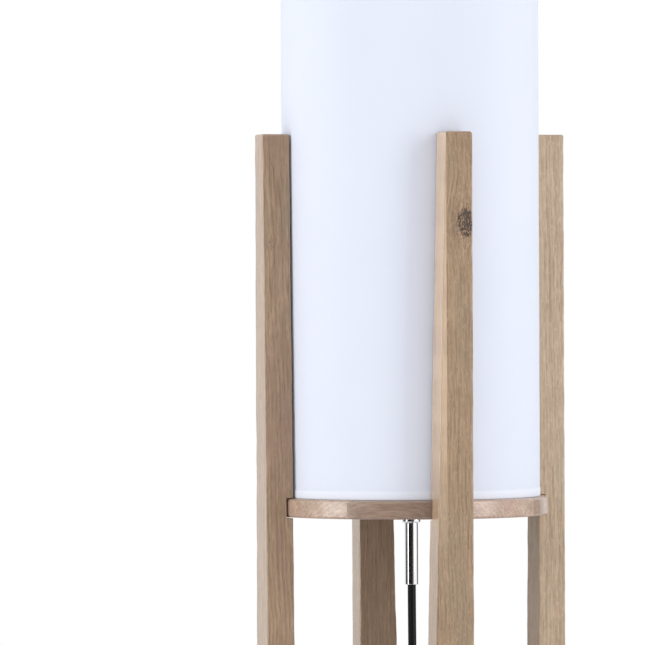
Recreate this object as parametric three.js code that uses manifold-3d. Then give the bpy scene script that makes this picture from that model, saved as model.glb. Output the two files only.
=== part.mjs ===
// A floor lamp: four oak legs hold an oak disc in notches, a tall cylinder shade stands on the disc
// between them, and the lampholder's pipe passes down through the disc to a tube that lets the cord
// out. Millimetres, +Z up, origin on the floor below the centre. The legs stand on the axes.
import * as THREE from "three";
import { mergeVertices } from "three/addons/utils/BufferGeometryUtils.js";
import Module from "manifold-3d";

const wasm = await Module();
wasm.setup();

// ---------- driving dimensions ----------
const CLEARANCE = 0.3; // between pieces that touch
const PAST = 1; // how far a cut runs past the face that it opens
const ROUND = 64; // sides of the widest round pieces

const LAMP_HEIGHT = 1180;
const SHADE = { diameter: 250.4, cloth: 0.8, liner: 0.8, wire: 4, legPlay: 0.8 };
const LEG = { height: 770, depth: 27, width: 27, splay: 17, arris: 1.5, corner: 2.5 };
const FOOT_PAD = { diameter: 22, thickness: 3 };
const DISC = { underside: 401, thickness: 18, inLeg: 6.5, edgeRadius: 3, notchPlay: 0.4 };
const DOWEL = { diameter: 8, inDisc: 24, inLeg: 15 };

const PIPE = { diameter: 10, bore: 7, inTube: 17, aboveNut: 12 };
const UNDER_NUT = { wall: 3.7, height: 7, edge: 1 };
const WASHER = { wall: 7.7, thickness: 1.5 };
const TOP_NUT = { wall: 1.7, height: 5 };
const OUTLET_TUBE = { wall: 1.2, length: 60 };
const BUSH = { wall: 0.7, length: 15 };
const WIRE = { diameter: 2.2, spacing: 3.2 };

const HOLDER = {
  gap: 3, neckWall: 3.2, neckLength: 12, shoulder: 4, room: 4.8, wall: 1.8, capLength: 30,
  shellLength: 42, lap: 6, mouthRoom: 2.3, lip: 2,
};
const BLOCK = { length: 13, sink: 12, screwDiameter: 4, screwLength: 6, screwProud: 1.5, screwRadius: 11 };
const SOCKET = { play: 0.5, wall: 0.6, length: 26, flange: 4 };
const LEAF = { rise: 3, width: 6, bend: 2, tip: 4 };

const BULB = {
  capDiameter: 26.2, threadDepth: 0.8, threadPitch: 3.6, turns: 6, capWall: 0.5,
  contactDiameter: 9, contactHeight: 1.4, chamfer: 1, insulatorHeight: 4,
  bodyLength: 38, diameter: 58, domeLength: 44, wall: 1.5, boardThickness: 1.6,
};

const CORD = { diameter: 8, sides: 8, inBush: 12 };
const COIL = { x: 44, y: 44, innerTurn: 34, outerTurn: 50, layers: 2 };
const SWITCH = {
  x: 2, y: -72, length: 80, width: 42, base: 9, cover: 13, wall: 2, corner: 13, coverEdge: 4,
  buttonDiameter: 25, buttonLip: 1.5, lipHeight: 2, buttonProud: 4, buttonEdge: 1.8,
  screwDiameter: 3, screwHead: 5.5, screwX: 27, screwY: 13.5, bossDiameter: 7, contacts: [30, 20, 9],
};
const PLUG = {
  x: -40, y: 94, bodyLength: 35, width: 36, height: 20, grip: 12, neck: 15, edge: 2,
  pinDiameter: 4.8, pinLength: 19, pinSpacing: 19, pinRoot: 10, pinChamfer: 1,
  sleeveLength: 28, sleeveRoot: 14, sleeveTip: 10.6,
};

// ---------- places worked out from the dimensions ----------
const shadeRadius = SHADE.diameter / 2;
const legInner = shadeRadius + SHADE.legPlay;
const legMiddle = legInner + LEG.depth / 2;
const legOuter = legInner + LEG.depth;
const legFoot = FOOT_PAD.thickness + CLEARANCE;
const discRadius = legInner + DISC.inLeg;
const discTop = DISC.underside + DISC.thickness;
const discMiddle = DISC.underside + DISC.thickness / 2;
const notchFloor = discRadius + DISC.notchPlay;

const cordRadius = CORD.diameter / 2;
const cordHole = cordRadius + CLEARANCE;
const pipeRadius = Math.max(PIPE.diameter / 2, cordHole + BUSH.wall);
const pipeHole = pipeRadius + CLEARANCE;
const underNutFoot = DISC.underside - CLEARANCE - UNDER_NUT.height;
const tubeTop = underNutFoot - CLEARANCE;
const tubeFoot = tubeTop - OUTLET_TUBE.length;
const cordTop = tubeFoot + CORD.inBush;
const pipeFoot = tubeTop - PIPE.inTube;
const washerFoot = discTop + CLEARANCE;
const nutFoot = washerFoot + WASHER.thickness + CLEARANCE;
const nutTop = nutFoot + TOP_NUT.height;
const pipeTop = nutTop + PIPE.aboveNut;

const socketBore = BULB.capDiameter / 2 + SOCKET.play;
const socketRadius = socketBore + SOCKET.wall;
const holderRadius = socketRadius + HOLDER.room;
const holderFoot = nutTop + HOLDER.gap;
const cupInner = holderRadius - HOLDER.wall;
const capTop = holderFoot + HOLDER.capLength;
const shellFoot = capTop - HOLDER.lap;
const shellTop = shellFoot + HOLDER.shellLength;
const blockFoot = capTop - BLOCK.sink;
const socketFoot = blockFoot + BLOCK.length + CLEARANCE;

const contactFoot = socketFoot + LEAF.rise + CLEARANCE;
const insulatorFoot = contactFoot + BULB.contactHeight + CLEARANCE;
const bulbCapFoot = insulatorFoot + BULB.insulatorHeight + CLEARANCE;
const bulbCapTop = bulbCapFoot + BULB.threadPitch * BULB.turns;
const bulbBodyFoot = bulbCapTop + CLEARANCE;
const bulbBodyTop = bulbBodyFoot + BULB.bodyLength;
const domeFoot = bulbBodyTop + CLEARANCE;

// The cord's centre line where it isn't coiled, from the outlet to the switch, from the switch to
// the coil, and from the coil to the plug.
const DROP_POINTS = [
  [0, 0, cordTop], [0, 0, 325], [0.3, 0.3, 290], [0.8, 1, 245], [1.2, 1.8, 200], [1.2, 2.6, 155],
  [0.8, 3.3, 115], [0.3, 3.8, 82], [0, 4, 54.3], [-6.7, 4, 29.3], [-25, 4, 11], [-50, 4, 4.3],
  [-63, 3.4, 4.3], [-75, -1.1, 4.3], [-88.9, -15, 4.3], [-94, -34, 4.3], [-88.9, -53, 4.3],
  [-75, -66.9, 4.6], [-56, -72, 7.6], [-43, -72, 9], [-30.3, -72, 9.15],
];
const LEAD_POINTS = [
  [34.3, -72, 9.15], [47, -72, 9], [57, -72, 8.1], [75, -66.9, 4.9], [88.9, -53, 4.3],
  [94, -34, 4.3], [94, -17, 4.3], [94, -1, 4.3], [94, 14.9, 4.3],
];
const TAIL_POINTS = [
  [14.9, 94, 12.6], [7, 94, 12.3], [-2, 94, 11.2], [-10, 94, 10.4], [-20, 94, 10.3], [-30, 94, 10.3],
  [-39.7, 94, 10.3],
];

// ---------- shapes ----------
function closed(geometry) {
  geometry.deleteAttribute("normal");
  geometry.deleteAttribute("uv");
  const merged = mergeVertices(geometry);
  const old = merged.index.array;
  const kept = [];
  for (let i = 0; i < old.length; i += 3) {
    const [a, b, c] = [old[i], old[i + 1], old[i + 2]];
    if (a !== b && b !== c && c !== a) kept.push(a, b, c);
  }
  merged.setIndex(kept);
  return merged;
}

function solid(geometry) {
  const mesh = closed(geometry);
  const vertProperties = Float32Array.from(mesh.attributes.position.array);
  const triVerts = Uint32Array.from(mesh.index.array);
  return new wasm.Manifold(new wasm.Mesh({ numProp: 3, vertProperties, triVerts }));
}

function geometryOf(manifold) {
  const mesh = manifold.getMesh();
  const geometry = new THREE.BufferGeometry();
  geometry.setAttribute("position", new THREE.BufferAttribute(Float32Array.from(mesh.vertProperties), 3));
  geometry.setIndex(Array.from(mesh.triVerts));
  return geometry;
}

// A turned piece from [radius, height] points that run out along the foot, up the outside and back.
function turned(profile, segments = 24) {
  const points = profile.map(([radius, height]) => new THREE.Vector2(radius, height));
  return new THREE.LatheGeometry(points, segments).rotateX(Math.PI / 2);
}

function turnedRing(profile, segments = 24) {
  return turned([...profile, profile[0]], segments);
}

function tubeRing(inner, outer, foot, top, segments = 24) {
  return turnedRing([[inner, foot], [outer, foot], [outer, top], [inner, top]], segments);
}

function rod(radius, foot, top, segments = 20) {
  return turned([[0, foot], [radius, foot], [radius, top], [0, top]], segments);
}

// Points of a quarter circle that starts at a whole number of quarter turns.
function quarterArc(x, y, radius, fromQuarter, steps = 3) {
  return Array.from({ length: steps + 1 }, (_, i) => {
    const angle = (fromQuarter + i / steps) * (Math.PI / 2);
    return [x + radius * Math.cos(angle), y + radius * Math.sin(angle)];
  });
}

function roundedOutline(corners, radius) {
  const shape = new THREE.Shape();
  corners.forEach((corner, i) => {
    const here = new THREE.Vector2(...corner);
    const before = new THREE.Vector2(...corners[(i + corners.length - 1) % corners.length]);
    const after = new THREE.Vector2(...corners[(i + 1) % corners.length]);
    const start = here.clone().add(before.sub(here).setLength(radius));
    const end = here.clone().add(after.sub(here).setLength(radius));
    if (i === 0) shape.moveTo(start.x, start.y);
    else shape.lineTo(start.x, start.y);
    shape.quadraticCurveTo(here.x, here.y, end.x, end.y);
  });
  shape.closePath();
  return shape;
}

function rectangle(length, width) {
  const [x, y] = [length / 2, width / 2];
  return [[-x, -y], [x, -y], [x, y], [-x, y]];
}

// A plate with its outline in XY, rounded by edge round both faces.
function plate(shape, foot, top, edge = 0, curveSegments = 4) {
  const bevel = edge
    ? { bevelEnabled: true, bevelThickness: edge, bevelSize: edge, bevelOffset: -edge, bevelSegments: 2 }
    : { bevelEnabled: false };
  const options = { depth: top - foot - 2 * edge, curveSegments, ...bevel };
  return new THREE.ExtrudeGeometry(shape, options).translate(0, 0, foot + edge);
}

function box(sizeX, sizeY, sizeZ, x, y, z) {
  return new THREE.BoxGeometry(sizeX, sizeY, sizeZ).translate(x, y, z);
}

// A rod along X from one x to another.
function rodAlongX(radius, fromX, toX, y = 0, z = 0, segments = 16) {
  return rod(radius, fromX, toX, segments).rotateY(Math.PI / 2).translate(0, y, z);
}

// ---------- pieces ----------
const OAK = [0xb99a7c, 0.6, 0];
const CHROME = [0xd9dadc, 0.12, 1];
const STEEL = [0xb4b4b2, 0.35, 1];
const BRASS = [0xc9a85c, 0.3, 1];
const BLACK_PLASTIC = [0x17171a, 0.45, 0];
const WHITE_PLASTIC = [0xeeeeea, 0.45, 0];
const CERAMIC = [0xe9e6de, 0.35, 0];
const CLOTH = [0xf2f1ee, 0.9, 0];
const LINER = [0xf8f7f2, 0.6, 0];
const FELT = [0x8c8a84, 0.95, 0];
const BEECH = [0xcdb08a, 0.7, 0];
const BROWN_PLASTIC = [0x6b4128, 0.5, 0];
const BLUE_PLASTIC = [0x2f5fa8, 0.5, 0];
const OPAL = [0xfbfaf4, 0.4, 0];

function piece(name, geometry, [color, roughness, metalness]) {
  const material = new THREE.MeshStandardMaterial({ color, roughness, metalness });
  const body = closed(geometry);
  body.computeVertexNormals();
  const mesh = new THREE.Mesh(body, material);
  mesh.name = name;
  return mesh;
}

function group(...children) {
  const made = new THREE.Group();
  made.add(...children);
  return made;
}

// One leg on the +X axis: its faces are plumb but for one side, which splays out towards the floor.
function legSolid(splaySide) {
  const half = LEG.width / 2;
  const corners = [[-half, legFoot], [half + LEG.splay, legFoot], [half, LEG.height], [-half, LEG.height]];
  const sided = corners.map(([across, up]) => [splaySide * across, up]);
  const outline = roundedOutline(sided, LEG.corner);
  const standing = new THREE.Matrix4().makeBasis(
    new THREE.Vector3(0, 1, 0), new THREE.Vector3(0, 0, 1), new THREE.Vector3(1, 0, 0));
  const blank = plate(outline, legInner, legOuter, LEG.arris, 3).applyMatrix4(standing);
  const hole = dowelHole(notchFloor - PAST, discRadius + DOWEL.inLeg + CLEARANCE);
  return geometryOf(solid(blank).subtract(notch()).subtract(hole));
}

// The cut across a leg's inner face that takes the disc's rim.
function notch() {
  const from = legInner - PAST;
  const across = 2 * (LEG.width + LEG.splay);
  const tall = DISC.thickness + 2 * DISC.notchPlay;
  return solid(box(notchFloor - from, across, tall, (notchFloor + from) / 2, 0, discMiddle));
}

function dowelHole(fromX, toX) {
  return solid(rodAlongX(DOWEL.diameter / 2 + CLEARANCE, fromX, toX, 0, discMiddle));
}

function leg(place, quarterTurns, splaySide) {
  const footMiddle = splaySide * LEG.splay / 2;
  const pad = rod(FOOT_PAD.diameter / 2, 0, FOOT_PAD.thickness).translate(legMiddle, footMiddle, 0);
  const from = discRadius - DOWEL.inDisc;
  const dowel = rodAlongX(DOWEL.diameter / 2, from, discRadius + DOWEL.inLeg, 0, discMiddle);
  const made = group(
    piece(`leg_${place}`, legSolid(splaySide), OAK),
    piece(`foot_pad_${place}`, pad, FELT),
    piece(`dowel_${place}`, dowel, BEECH));
  made.rotation.z = quarterTurns * Math.PI / 2;
  return made;
}

function disc() {
  const inset = discRadius - DISC.edgeRadius;
  const profile = [
    [pipeHole, DISC.underside],
    ...quarterArc(inset, DISC.underside + DISC.edgeRadius, DISC.edgeRadius, -1),
    ...quarterArc(inset, discTop - DISC.edgeRadius, DISC.edgeRadius, 0),
    [pipeHole, discTop],
  ];
  let body = solid(turnedRing(profile, ROUND));
  for (let i = 0; i < 4; i += 1) {
    const hole = dowelHole(discRadius - DOWEL.inDisc - CLEARANCE, discRadius + PAST);
    body = body.subtract(hole.rotate([0, 0, 90 * i]));
  }
  return piece("disc", geometryOf(body), OAK);
}

function pipeAndNuts() {
  return group(
    piece("threaded_pipe", tubeRing(PIPE.bore / 2, pipeRadius, pipeFoot, pipeTop), STEEL),
    piece("under_nut", roundNut(), CHROME),
    piece("top_washer", tubeRing(pipeHole, pipeHole + WASHER.wall, washerFoot, nutFoot - CLEARANCE), STEEL),
    piece("top_nut", hexNut(), STEEL),
    piece("outlet_tube", tubeRing(pipeHole, pipeHole + OUTLET_TUBE.wall, tubeFoot, tubeTop), CHROME),
    piece("cord_bush", tubeRing(cordHole, pipeRadius, tubeFoot, tubeFoot + BUSH.length), BLACK_PLASTIC));
}

function roundNut() {
  const outer = pipeHole + UNDER_NUT.wall;
  const top = underNutFoot + UNDER_NUT.height;
  return turnedRing([
    [pipeHole, underNutFoot], [outer - UNDER_NUT.edge, underNutFoot],
    [outer, underNutFoot + UNDER_NUT.edge], [outer, top], [pipeHole, top]]);
}

function hexNut() {
  const corner = (pipeHole + TOP_NUT.wall) / Math.cos(Math.PI / 6);
  const outline = new THREE.Shape(Array.from({ length: 6 }, (_, i) =>
    new THREE.Vector2(corner * Math.cos(i * Math.PI / 3), corner * Math.sin(i * Math.PI / 3))));
  outline.holes.push(new THREE.Path().absarc(0, 0, pipeHole, 0, 2 * Math.PI, true));
  return plate(outline, nutFoot, nutTop, 0, 24);
}

function wires() {
  const wire = (name, side, finish) => {
    const rodUp = rod(WIRE.diameter / 2, cordTop + CLEARANCE, blockFoot - CLEARANCE, 10);
    return piece(name, rodUp.translate(side * WIRE.spacing / 2, 0, 0), finish);
  };
  return group(wire("live_wire", -1, BROWN_PLASTIC), wire("neutral_wire", 1, BLUE_PLASTIC));
}

function lampholder() {
  return group(
    piece("lampholder_cap", holderCap(), BLACK_PLASTIC),
    piece("lampholder_shell", holderShell(), BLACK_PLASTIC),
    piece("contact_block", contactBlock(), CERAMIC),
    piece("terminal_screw_1", terminalScrew(-1), BRASS),
    piece("terminal_screw_2", terminalScrew(1), BRASS),
    piece("socket_shell", socketShell(), BRASS),
    piece("centre_contact", contactLeaf(), BRASS));
}

function holderCap() {
  const neckRadius = pipeHole + HOLDER.neckWall;
  const neckTop = holderFoot + HOLDER.neckLength;
  return turnedRing([
    [pipeHole, holderFoot], [neckRadius, holderFoot], [neckRadius, neckTop - HOLDER.wall],
    [holderRadius, neckTop + HOLDER.shoulder], [holderRadius, capTop], [cupInner, capTop],
    [cupInner, neckTop + HOLDER.shoulder + HOLDER.wall / 2], [pipeHole, neckTop]]);
}

function holderShell() {
  const inner = holderRadius + CLEARANCE;
  const outer = inner + HOLDER.wall;
  const mouth = socketRadius + HOLDER.mouthRoom;
  const lip = HOLDER.lip;
  return turnedRing([
    [inner, shellFoot], [outer, shellFoot], ...quarterArc(outer - lip, shellTop - lip, lip, 0),
    [mouth, shellTop], [mouth, shellTop - lip], [inner, shellTop - 2 * lip]]);
}

function contactBlock() {
  let block = solid(rod(cupInner - CLEARANCE, blockFoot, blockFoot + BLOCK.length));
  for (const side of [-1, 1]) {
    const boreRadius = BLOCK.screwDiameter / 2 + CLEARANCE;
    const bore = rod(boreRadius, blockFoot - PAST, blockFoot + BLOCK.screwLength, 16);
    block = block.subtract(solid(bore.translate(side * BLOCK.screwRadius, 0, 0)));
  }
  return geometryOf(block);
}

function terminalScrew(side) {
  const top = blockFoot + BLOCK.screwLength - CLEARANCE;
  const screw = rod(BLOCK.screwDiameter / 2, blockFoot - BLOCK.screwProud, top, 16);
  return screw.translate(side * BLOCK.screwRadius, 0, 0);
}

function socketShell() {
  const rim = socketBore - SOCKET.flange;
  const floorTop = socketFoot + SOCKET.wall;
  const top = socketFoot + SOCKET.length;
  return turnedRing([
    [rim, socketFoot], [socketRadius, socketFoot], [socketRadius, top],
    [socketBore, top], [socketBore, floorTop], [rim, floorTop]]);
}

// A brass leaf that lies on the block and rises under the bulb's own contact.
function contactLeaf() {
  const thick = SOCKET.wall;
  const tail = socketBore - SOCKET.flange - PAST;
  const high = LEAF.rise - thick;
  const under = [[-tail, 0], [-LEAF.bend, 0], [LEAF.bend, high], [LEAF.tip, high]];
  const over = under.map(([x, y]) => [x, y + thick]).reverse();
  const side = new THREE.Shape([...under, ...over].map(([x, y]) => new THREE.Vector2(x, y)));
  const options = { depth: LEAF.width, bevelEnabled: false };
  const leaf = new THREE.ExtrudeGeometry(side, options).translate(0, 0, -LEAF.width / 2);
  return leaf.rotateX(Math.PI / 2).translate(0, 0, socketFoot);
}

function bulb() {
  const root = BULB.capDiameter / 2 - BULB.threadDepth;
  return group(
    piece("bulb_contact", bulbContact(), STEEL),
    piece("bulb_insulator", bulbInsulator(root), BLACK_PLASTIC),
    piece("bulb_screw_cap", bulbScrewCap(root), STEEL),
    ...bulbEnvelope(root));
}

function bulbContact() {
  const radius = BULB.contactDiameter / 2;
  const top = contactFoot + BULB.contactHeight;
  return turned([
    [0, contactFoot], [radius - BULB.chamfer, contactFoot], [radius, contactFoot + BULB.chamfer],
    [radius, top], [0, top]]);
}

function bulbInsulator(root) {
  const foot = BULB.contactDiameter / 2 + BULB.chamfer;
  const top = insulatorFoot + BULB.insulatorHeight;
  return turned([[0, insulatorFoot], [foot, insulatorFoot], [root, top], [0, top]]);
}

function bulbScrewCap(root) {
  const thread = Array.from({ length: 2 * BULB.turns + 1 }, (_, i) =>
    [i % 2 ? BULB.capDiameter / 2 : root, bulbCapFoot + i * BULB.threadPitch / 2]);
  const inner = root - BULB.capWall;
  return turnedRing([...thread, [inner, bulbCapTop], [inner, bulbCapFoot]]);
}

// The bulb's plastic body, the board that lies in it and the opal dome.
function bulbEnvelope(root) {
  const steps = 5;
  const neck = root + BULB.chamfer;
  const rim = BULB.diameter / 2;
  const wall = Array.from({ length: steps + 1 }, (_, i) => {
    const flare = Math.sin(i / steps * Math.PI / 2) ** 1.3;
    return [neck + (rim - neck) * flare, bulbBodyFoot + BULB.bodyLength * i / steps];
  });
  const lining = wall.map(([radius, height]) => [radius - BULB.wall, height]).reverse();
  const dome = (radius, rise) => Array.from({ length: steps + 1 }, (_, i) => {
    const turn = i / steps * Math.PI / 2;
    return [i === steps ? 0 : radius * Math.cos(turn) ** 0.9, domeFoot + rise * Math.sin(turn)];
  });
  const inside = dome(rim - BULB.wall, BULB.domeLength - BULB.wall).reverse();
  const boardTop = bulbBodyTop - BULB.wall;
  const board = rod(lining[1][0] - CLEARANCE, boardTop - BULB.boardThickness, boardTop);
  return [
    piece("bulb_body", turnedRing([...wall, ...lining]), WHITE_PLASTIC),
    piece("led_board", board, WHITE_PLASTIC),
    piece("bulb_dome", turned([...inside, ...dome(rim, BULB.domeLength)]), OPAL),
  ];
}

function shade() {
  const foot = discTop + CLEARANCE;
  const linerOuter = shadeRadius - SHADE.cloth - CLEARANCE;
  const linerInner = linerOuter - SHADE.liner;
  const wireRadius = SHADE.wire / 2;
  const ringRadius = linerInner - CLEARANCE - wireRadius;
  const wireRing = (middle) =>
    new THREE.TorusGeometry(ringRadius, wireRadius, 6, ROUND).translate(0, 0, middle);
  return group(
    piece("shade_cloth", tubeRing(shadeRadius - SHADE.cloth, shadeRadius, foot, LAMP_HEIGHT, ROUND), CLOTH),
    piece("shade_liner", tubeRing(linerInner, linerOuter, foot, LAMP_HEIGHT, ROUND), LINER),
    piece("shade_bottom_wire", wireRing(foot + wireRadius), WHITE_PLASTIC),
    piece("shade_top_wire", wireRing(LAMP_HEIGHT - wireRadius), WHITE_PLASTIC));
}

// ---------- the cord and what is on it ----------
function cordAlong(points, steps) {
  const path = new THREE.CatmullRomCurve3(points.map((point) => new THREE.Vector3(...point)));
  const section = new THREE.Shape(Array.from({ length: CORD.sides }, (_, i) => {
    const angle = i * 2 * Math.PI / CORD.sides;
    return new THREE.Vector2(cordRadius * Math.cos(angle), cordRadius * Math.sin(angle));
  }));
  return new THREE.ExtrudeGeometry(section, { steps, extrudePath: path, bevelEnabled: false });
}

function coil() {
  const top = COIL.layers * CORD.diameter + 2 * CLEARANCE;
  const [inner, outer] = [COIL.innerTurn - cordRadius, COIL.outerTurn + cordRadius];
  const round = cordRadius / 2;
  const corner = (r, z, quarter) => quarterArc(r, z, round, quarter, 1);
  const profile = [
    ...corner(outer - round, round, -1), ...corner(outer - round, top - round, 0),
    ...corner(inner + round, top - round, 1), ...corner(inner + round, round, 2)];
  return turnedRing(profile, 36).translate(COIL.x, COIL.y, 0);
}

function bossPair(radius, foot, top) {
  const one = solid(rod(radius, foot, top, 16).translate(-SWITCH.screwX, SWITCH.screwY, 0));
  return one.add(solid(rod(radius, foot, top, 16).translate(SWITCH.screwX, -SWITCH.screwY, 0)));
}

function footSwitch() {
  const wall = SWITCH.wall;
  const seam = SWITCH.base + CLEARANCE;
  const top = seam + SWITCH.cover;
  const ceiling = top - wall;
  const outline = roundedOutline(rectangle(SWITCH.length, SWITCH.width), SWITCH.corner);
  const inside = rectangle(SWITCH.length - 2 * wall, SWITCH.width - 2 * wall);
  const hollow = roundedOutline(inside, SWITCH.corner - wall);
  const end = SWITCH.length / 2 + PAST;
  const cordHoles = solid(rodAlongX(cordHole, -end, end, 0, SWITCH.base + CLEARANCE / 2));
  const screwHoles = bossPair(SWITCH.screwDiameter / 2 + CLEARANCE, -PAST, ceiling - wall);
  const headSeats = bossPair(SWITCH.screwHead / 2 + CLEARANCE, -PAST, wall);
  const buttonHole = solid(rod(SWITCH.buttonDiameter / 2 + CLEARANCE, seam, top + PAST, 24));

  const baseShell = solid(plate(outline, 0, SWITCH.base))
    .subtract(solid(plate(hollow, wall, SWITCH.base + PAST)))
    .add(bossPair(SWITCH.bossDiameter / 2, wall / 2, SWITCH.base))
    .subtract(cordHoles).subtract(screwHoles).subtract(headSeats);
  const coverShell = solid(plate(outline, seam, top))
    .intersect(solid(plate(outline, 0, top, SWITCH.coverEdge)))
    .subtract(solid(plate(hollow, seam - PAST, ceiling)))
    .add(bossPair(SWITCH.bossDiameter / 2, seam, ceiling + wall / 2))
    .subtract(cordHoles).subtract(screwHoles).subtract(buttonHole);

  const contactsMiddle = wall + CLEARANCE + SWITCH.contacts[2] / 2;
  const made = group(
    piece("switch_base", geometryOf(baseShell), BLACK_PLASTIC),
    piece("switch_cover", geometryOf(coverShell), BLACK_PLASTIC),
    piece("switch_button", switchButton(ceiling, top), BLACK_PLASTIC),
    piece("switch_contacts", box(...SWITCH.contacts, 0, 0, contactsMiddle), CERAMIC),
    piece("switch_screw_1", switchScrew(-1, ceiling - wall), STEEL),
    piece("switch_screw_2", switchScrew(1, ceiling - wall), STEEL));
  made.position.set(SWITCH.x, SWITCH.y, 0);
  return made;
}

// A domed button whose lip stays under the cover, with room below it for its travel.
function switchButton(ceiling, top) {
  const radius = SWITCH.buttonDiameter / 2;
  const lip = radius + SWITCH.buttonLip;
  const lipTop = ceiling - CLEARANCE;
  const crown = top + SWITCH.buttonProud;
  return turned([
    [0, lipTop - SWITCH.lipHeight], [lip, lipTop - SWITCH.lipHeight], [lip, lipTop], [radius, lipTop],
    ...quarterArc(radius - SWITCH.buttonEdge, crown - SWITCH.buttonEdge, SWITCH.buttonEdge, 0), [0, crown]]);
}

function switchScrew(side, top) {
  const headTop = SWITCH.wall - CLEARANCE;
  const shank = SWITCH.screwDiameter / 2;
  const screw = turned([
    [0, CLEARANCE], [SWITCH.screwHead / 2, CLEARANCE], [SWITCH.screwHead / 2, headTop],
    [shank, headTop], [shank, top - CLEARANCE], [0, top - CLEARANCE]], 16);
  return screw.translate(side * SWITCH.screwX, -side * SWITCH.screwY, 0);
}

// A grip that is straight by the pins and draws in smoothly to the sleeve.
function plugBody() {
  const half = PLUG.width / 2;
  const neck = PLUG.neck / 2;
  const edge = PLUG.edge;
  const steps = 5;
  const taper = Array.from({ length: steps + 1 }, (_, i) => {
    const along = i / steps;
    const swell = (1 + Math.cos(Math.PI * along)) / 2;
    return [neck + (half - neck) * swell, PLUG.grip + (PLUG.bodyLength - PLUG.grip) * along];
  });
  return turned([[0, 0], [half - edge, 0], [half, edge], ...taper, [0, PLUG.bodyLength]]);
}

// Made along +Z from the pins' side, then laid on its flat side with the pins towards -X.
function plug() {
  const long = PLUG.bodyLength;
  let body = solid(plugBody().scale(1, PLUG.height / PLUG.width, 1));
  const pins = [-1, 1].map((side) => side * PLUG.pinSpacing / 2);
  const pinRadius = PLUG.pinDiameter / 2;
  for (const x of pins) {
    body = body.subtract(solid(rod(pinRadius + CLEARANCE, -PAST, PLUG.pinRoot).translate(x, 0, 0)));
  }
  const tip = -PLUG.pinLength;
  const root = PLUG.pinRoot - CLEARANCE;
  const pin = (x) => turned([
    [0, tip], [pinRadius - PLUG.pinChamfer, tip], [pinRadius, tip + PLUG.pinChamfer],
    [pinRadius, root], [0, root]], 20).translate(x, 0, 0);
  const sleeveFoot = long + CLEARANCE;
  const sleeve = turnedRing([
    [cordHole, sleeveFoot], [PLUG.sleeveRoot / 2, sleeveFoot],
    [PLUG.sleeveTip / 2, sleeveFoot + PLUG.sleeveLength], [cordHole, sleeveFoot + PLUG.sleeveLength]], 24);
  const made = group(
    piece("plug_body", geometryOf(body), BLACK_PLASTIC),
    piece("plug_pin_1", pin(pins[0]), STEEL),
    piece("plug_pin_2", pin(pins[1]), STEEL),
    piece("plug_sleeve", sleeve, BLACK_PLASTIC));
  made.rotation.set(Math.PI / 2, 0, Math.PI / 2, "ZXY");
  made.position.set(PLUG.x - long, PLUG.y, PLUG.height / 2 + CLEARANCE);
  return made;
}

const lamp = group(
  leg("right", 0, 1), leg("back", 1, -1), leg("left", 2, 1), leg("front", 3, -1),
  disc(), pipeAndNuts(), wires(), lampholder(), bulb(), shade(),
  piece("cord_drop", cordAlong(DROP_POINTS, 36), BLACK_PLASTIC),
  piece("cord_lead", cordAlong(LEAD_POINTS, 12), BLACK_PLASTIC),
  piece("cord_coil", coil(), BLACK_PLASTIC),
  piece("cord_tail", cordAlong(TAIL_POINTS, 5), BLACK_PLASTIC),
  footSwitch(), plug());

export default lamp;
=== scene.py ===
"""A floor lamp: four splayed oak legs, an oak disc let into them and a tall cloth shade."""

import logging
import math
from dataclasses import dataclass, field, replace
from enum import Enum
from typing import Callable, Iterable, Sequence, Union

import bmesh
import bpy
from mathutils import Matrix, Vector, noise


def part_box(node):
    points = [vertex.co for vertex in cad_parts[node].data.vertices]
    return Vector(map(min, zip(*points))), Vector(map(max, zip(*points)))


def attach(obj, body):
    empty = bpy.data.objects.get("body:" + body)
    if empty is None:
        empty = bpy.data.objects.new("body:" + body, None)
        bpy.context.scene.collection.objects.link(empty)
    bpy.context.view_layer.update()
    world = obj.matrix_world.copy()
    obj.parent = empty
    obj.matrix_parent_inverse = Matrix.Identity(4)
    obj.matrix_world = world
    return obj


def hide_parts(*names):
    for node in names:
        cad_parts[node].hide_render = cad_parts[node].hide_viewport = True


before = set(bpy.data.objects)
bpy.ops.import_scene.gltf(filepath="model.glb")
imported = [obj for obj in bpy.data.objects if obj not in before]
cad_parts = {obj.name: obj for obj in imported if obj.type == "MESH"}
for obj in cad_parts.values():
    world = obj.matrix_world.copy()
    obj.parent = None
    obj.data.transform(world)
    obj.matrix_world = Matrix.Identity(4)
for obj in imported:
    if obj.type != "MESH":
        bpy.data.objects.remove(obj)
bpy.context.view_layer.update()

MM = 0.001
DOUBLED = 1e-7  # points nearer than this, in metres, are one point
LEAST_CORNER = 0.2 * MM
LOG = logging.getLogger("floor_lamp")

Point = Sequence[float]
Profile = list[tuple[float, float]]
Colour = tuple[float, float, float, float]
Number = Union["Value", float]
Scale = tuple[int, int, int]
Outline = Callable[[float], Profile]


def srgb(red: int, green: int, blue: int) -> Colour:
    """A display colour, from 0 to 255, as the linear colour that a socket takes.

    Args:
        red: the red, from 0 to 255.
        green: the green.
        blue: the blue.

    Returns:
        The linear colour, opaque.
    """

    def linear(level: int) -> float:
        """One channel, from 0 to 255, as linear light."""
        share = level / 255
        return share / 12.92 if share <= 0.04045 else ((share + 0.055) / 1.055) ** 2.4

    return linear(red), linear(green), linear(blue), 1.0


def ease(share: float) -> float:
    """A smooth step from 0 to 1."""
    held = min(max(share, 0.0), 1.0)
    return held * held * (3 - 2 * held)


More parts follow.
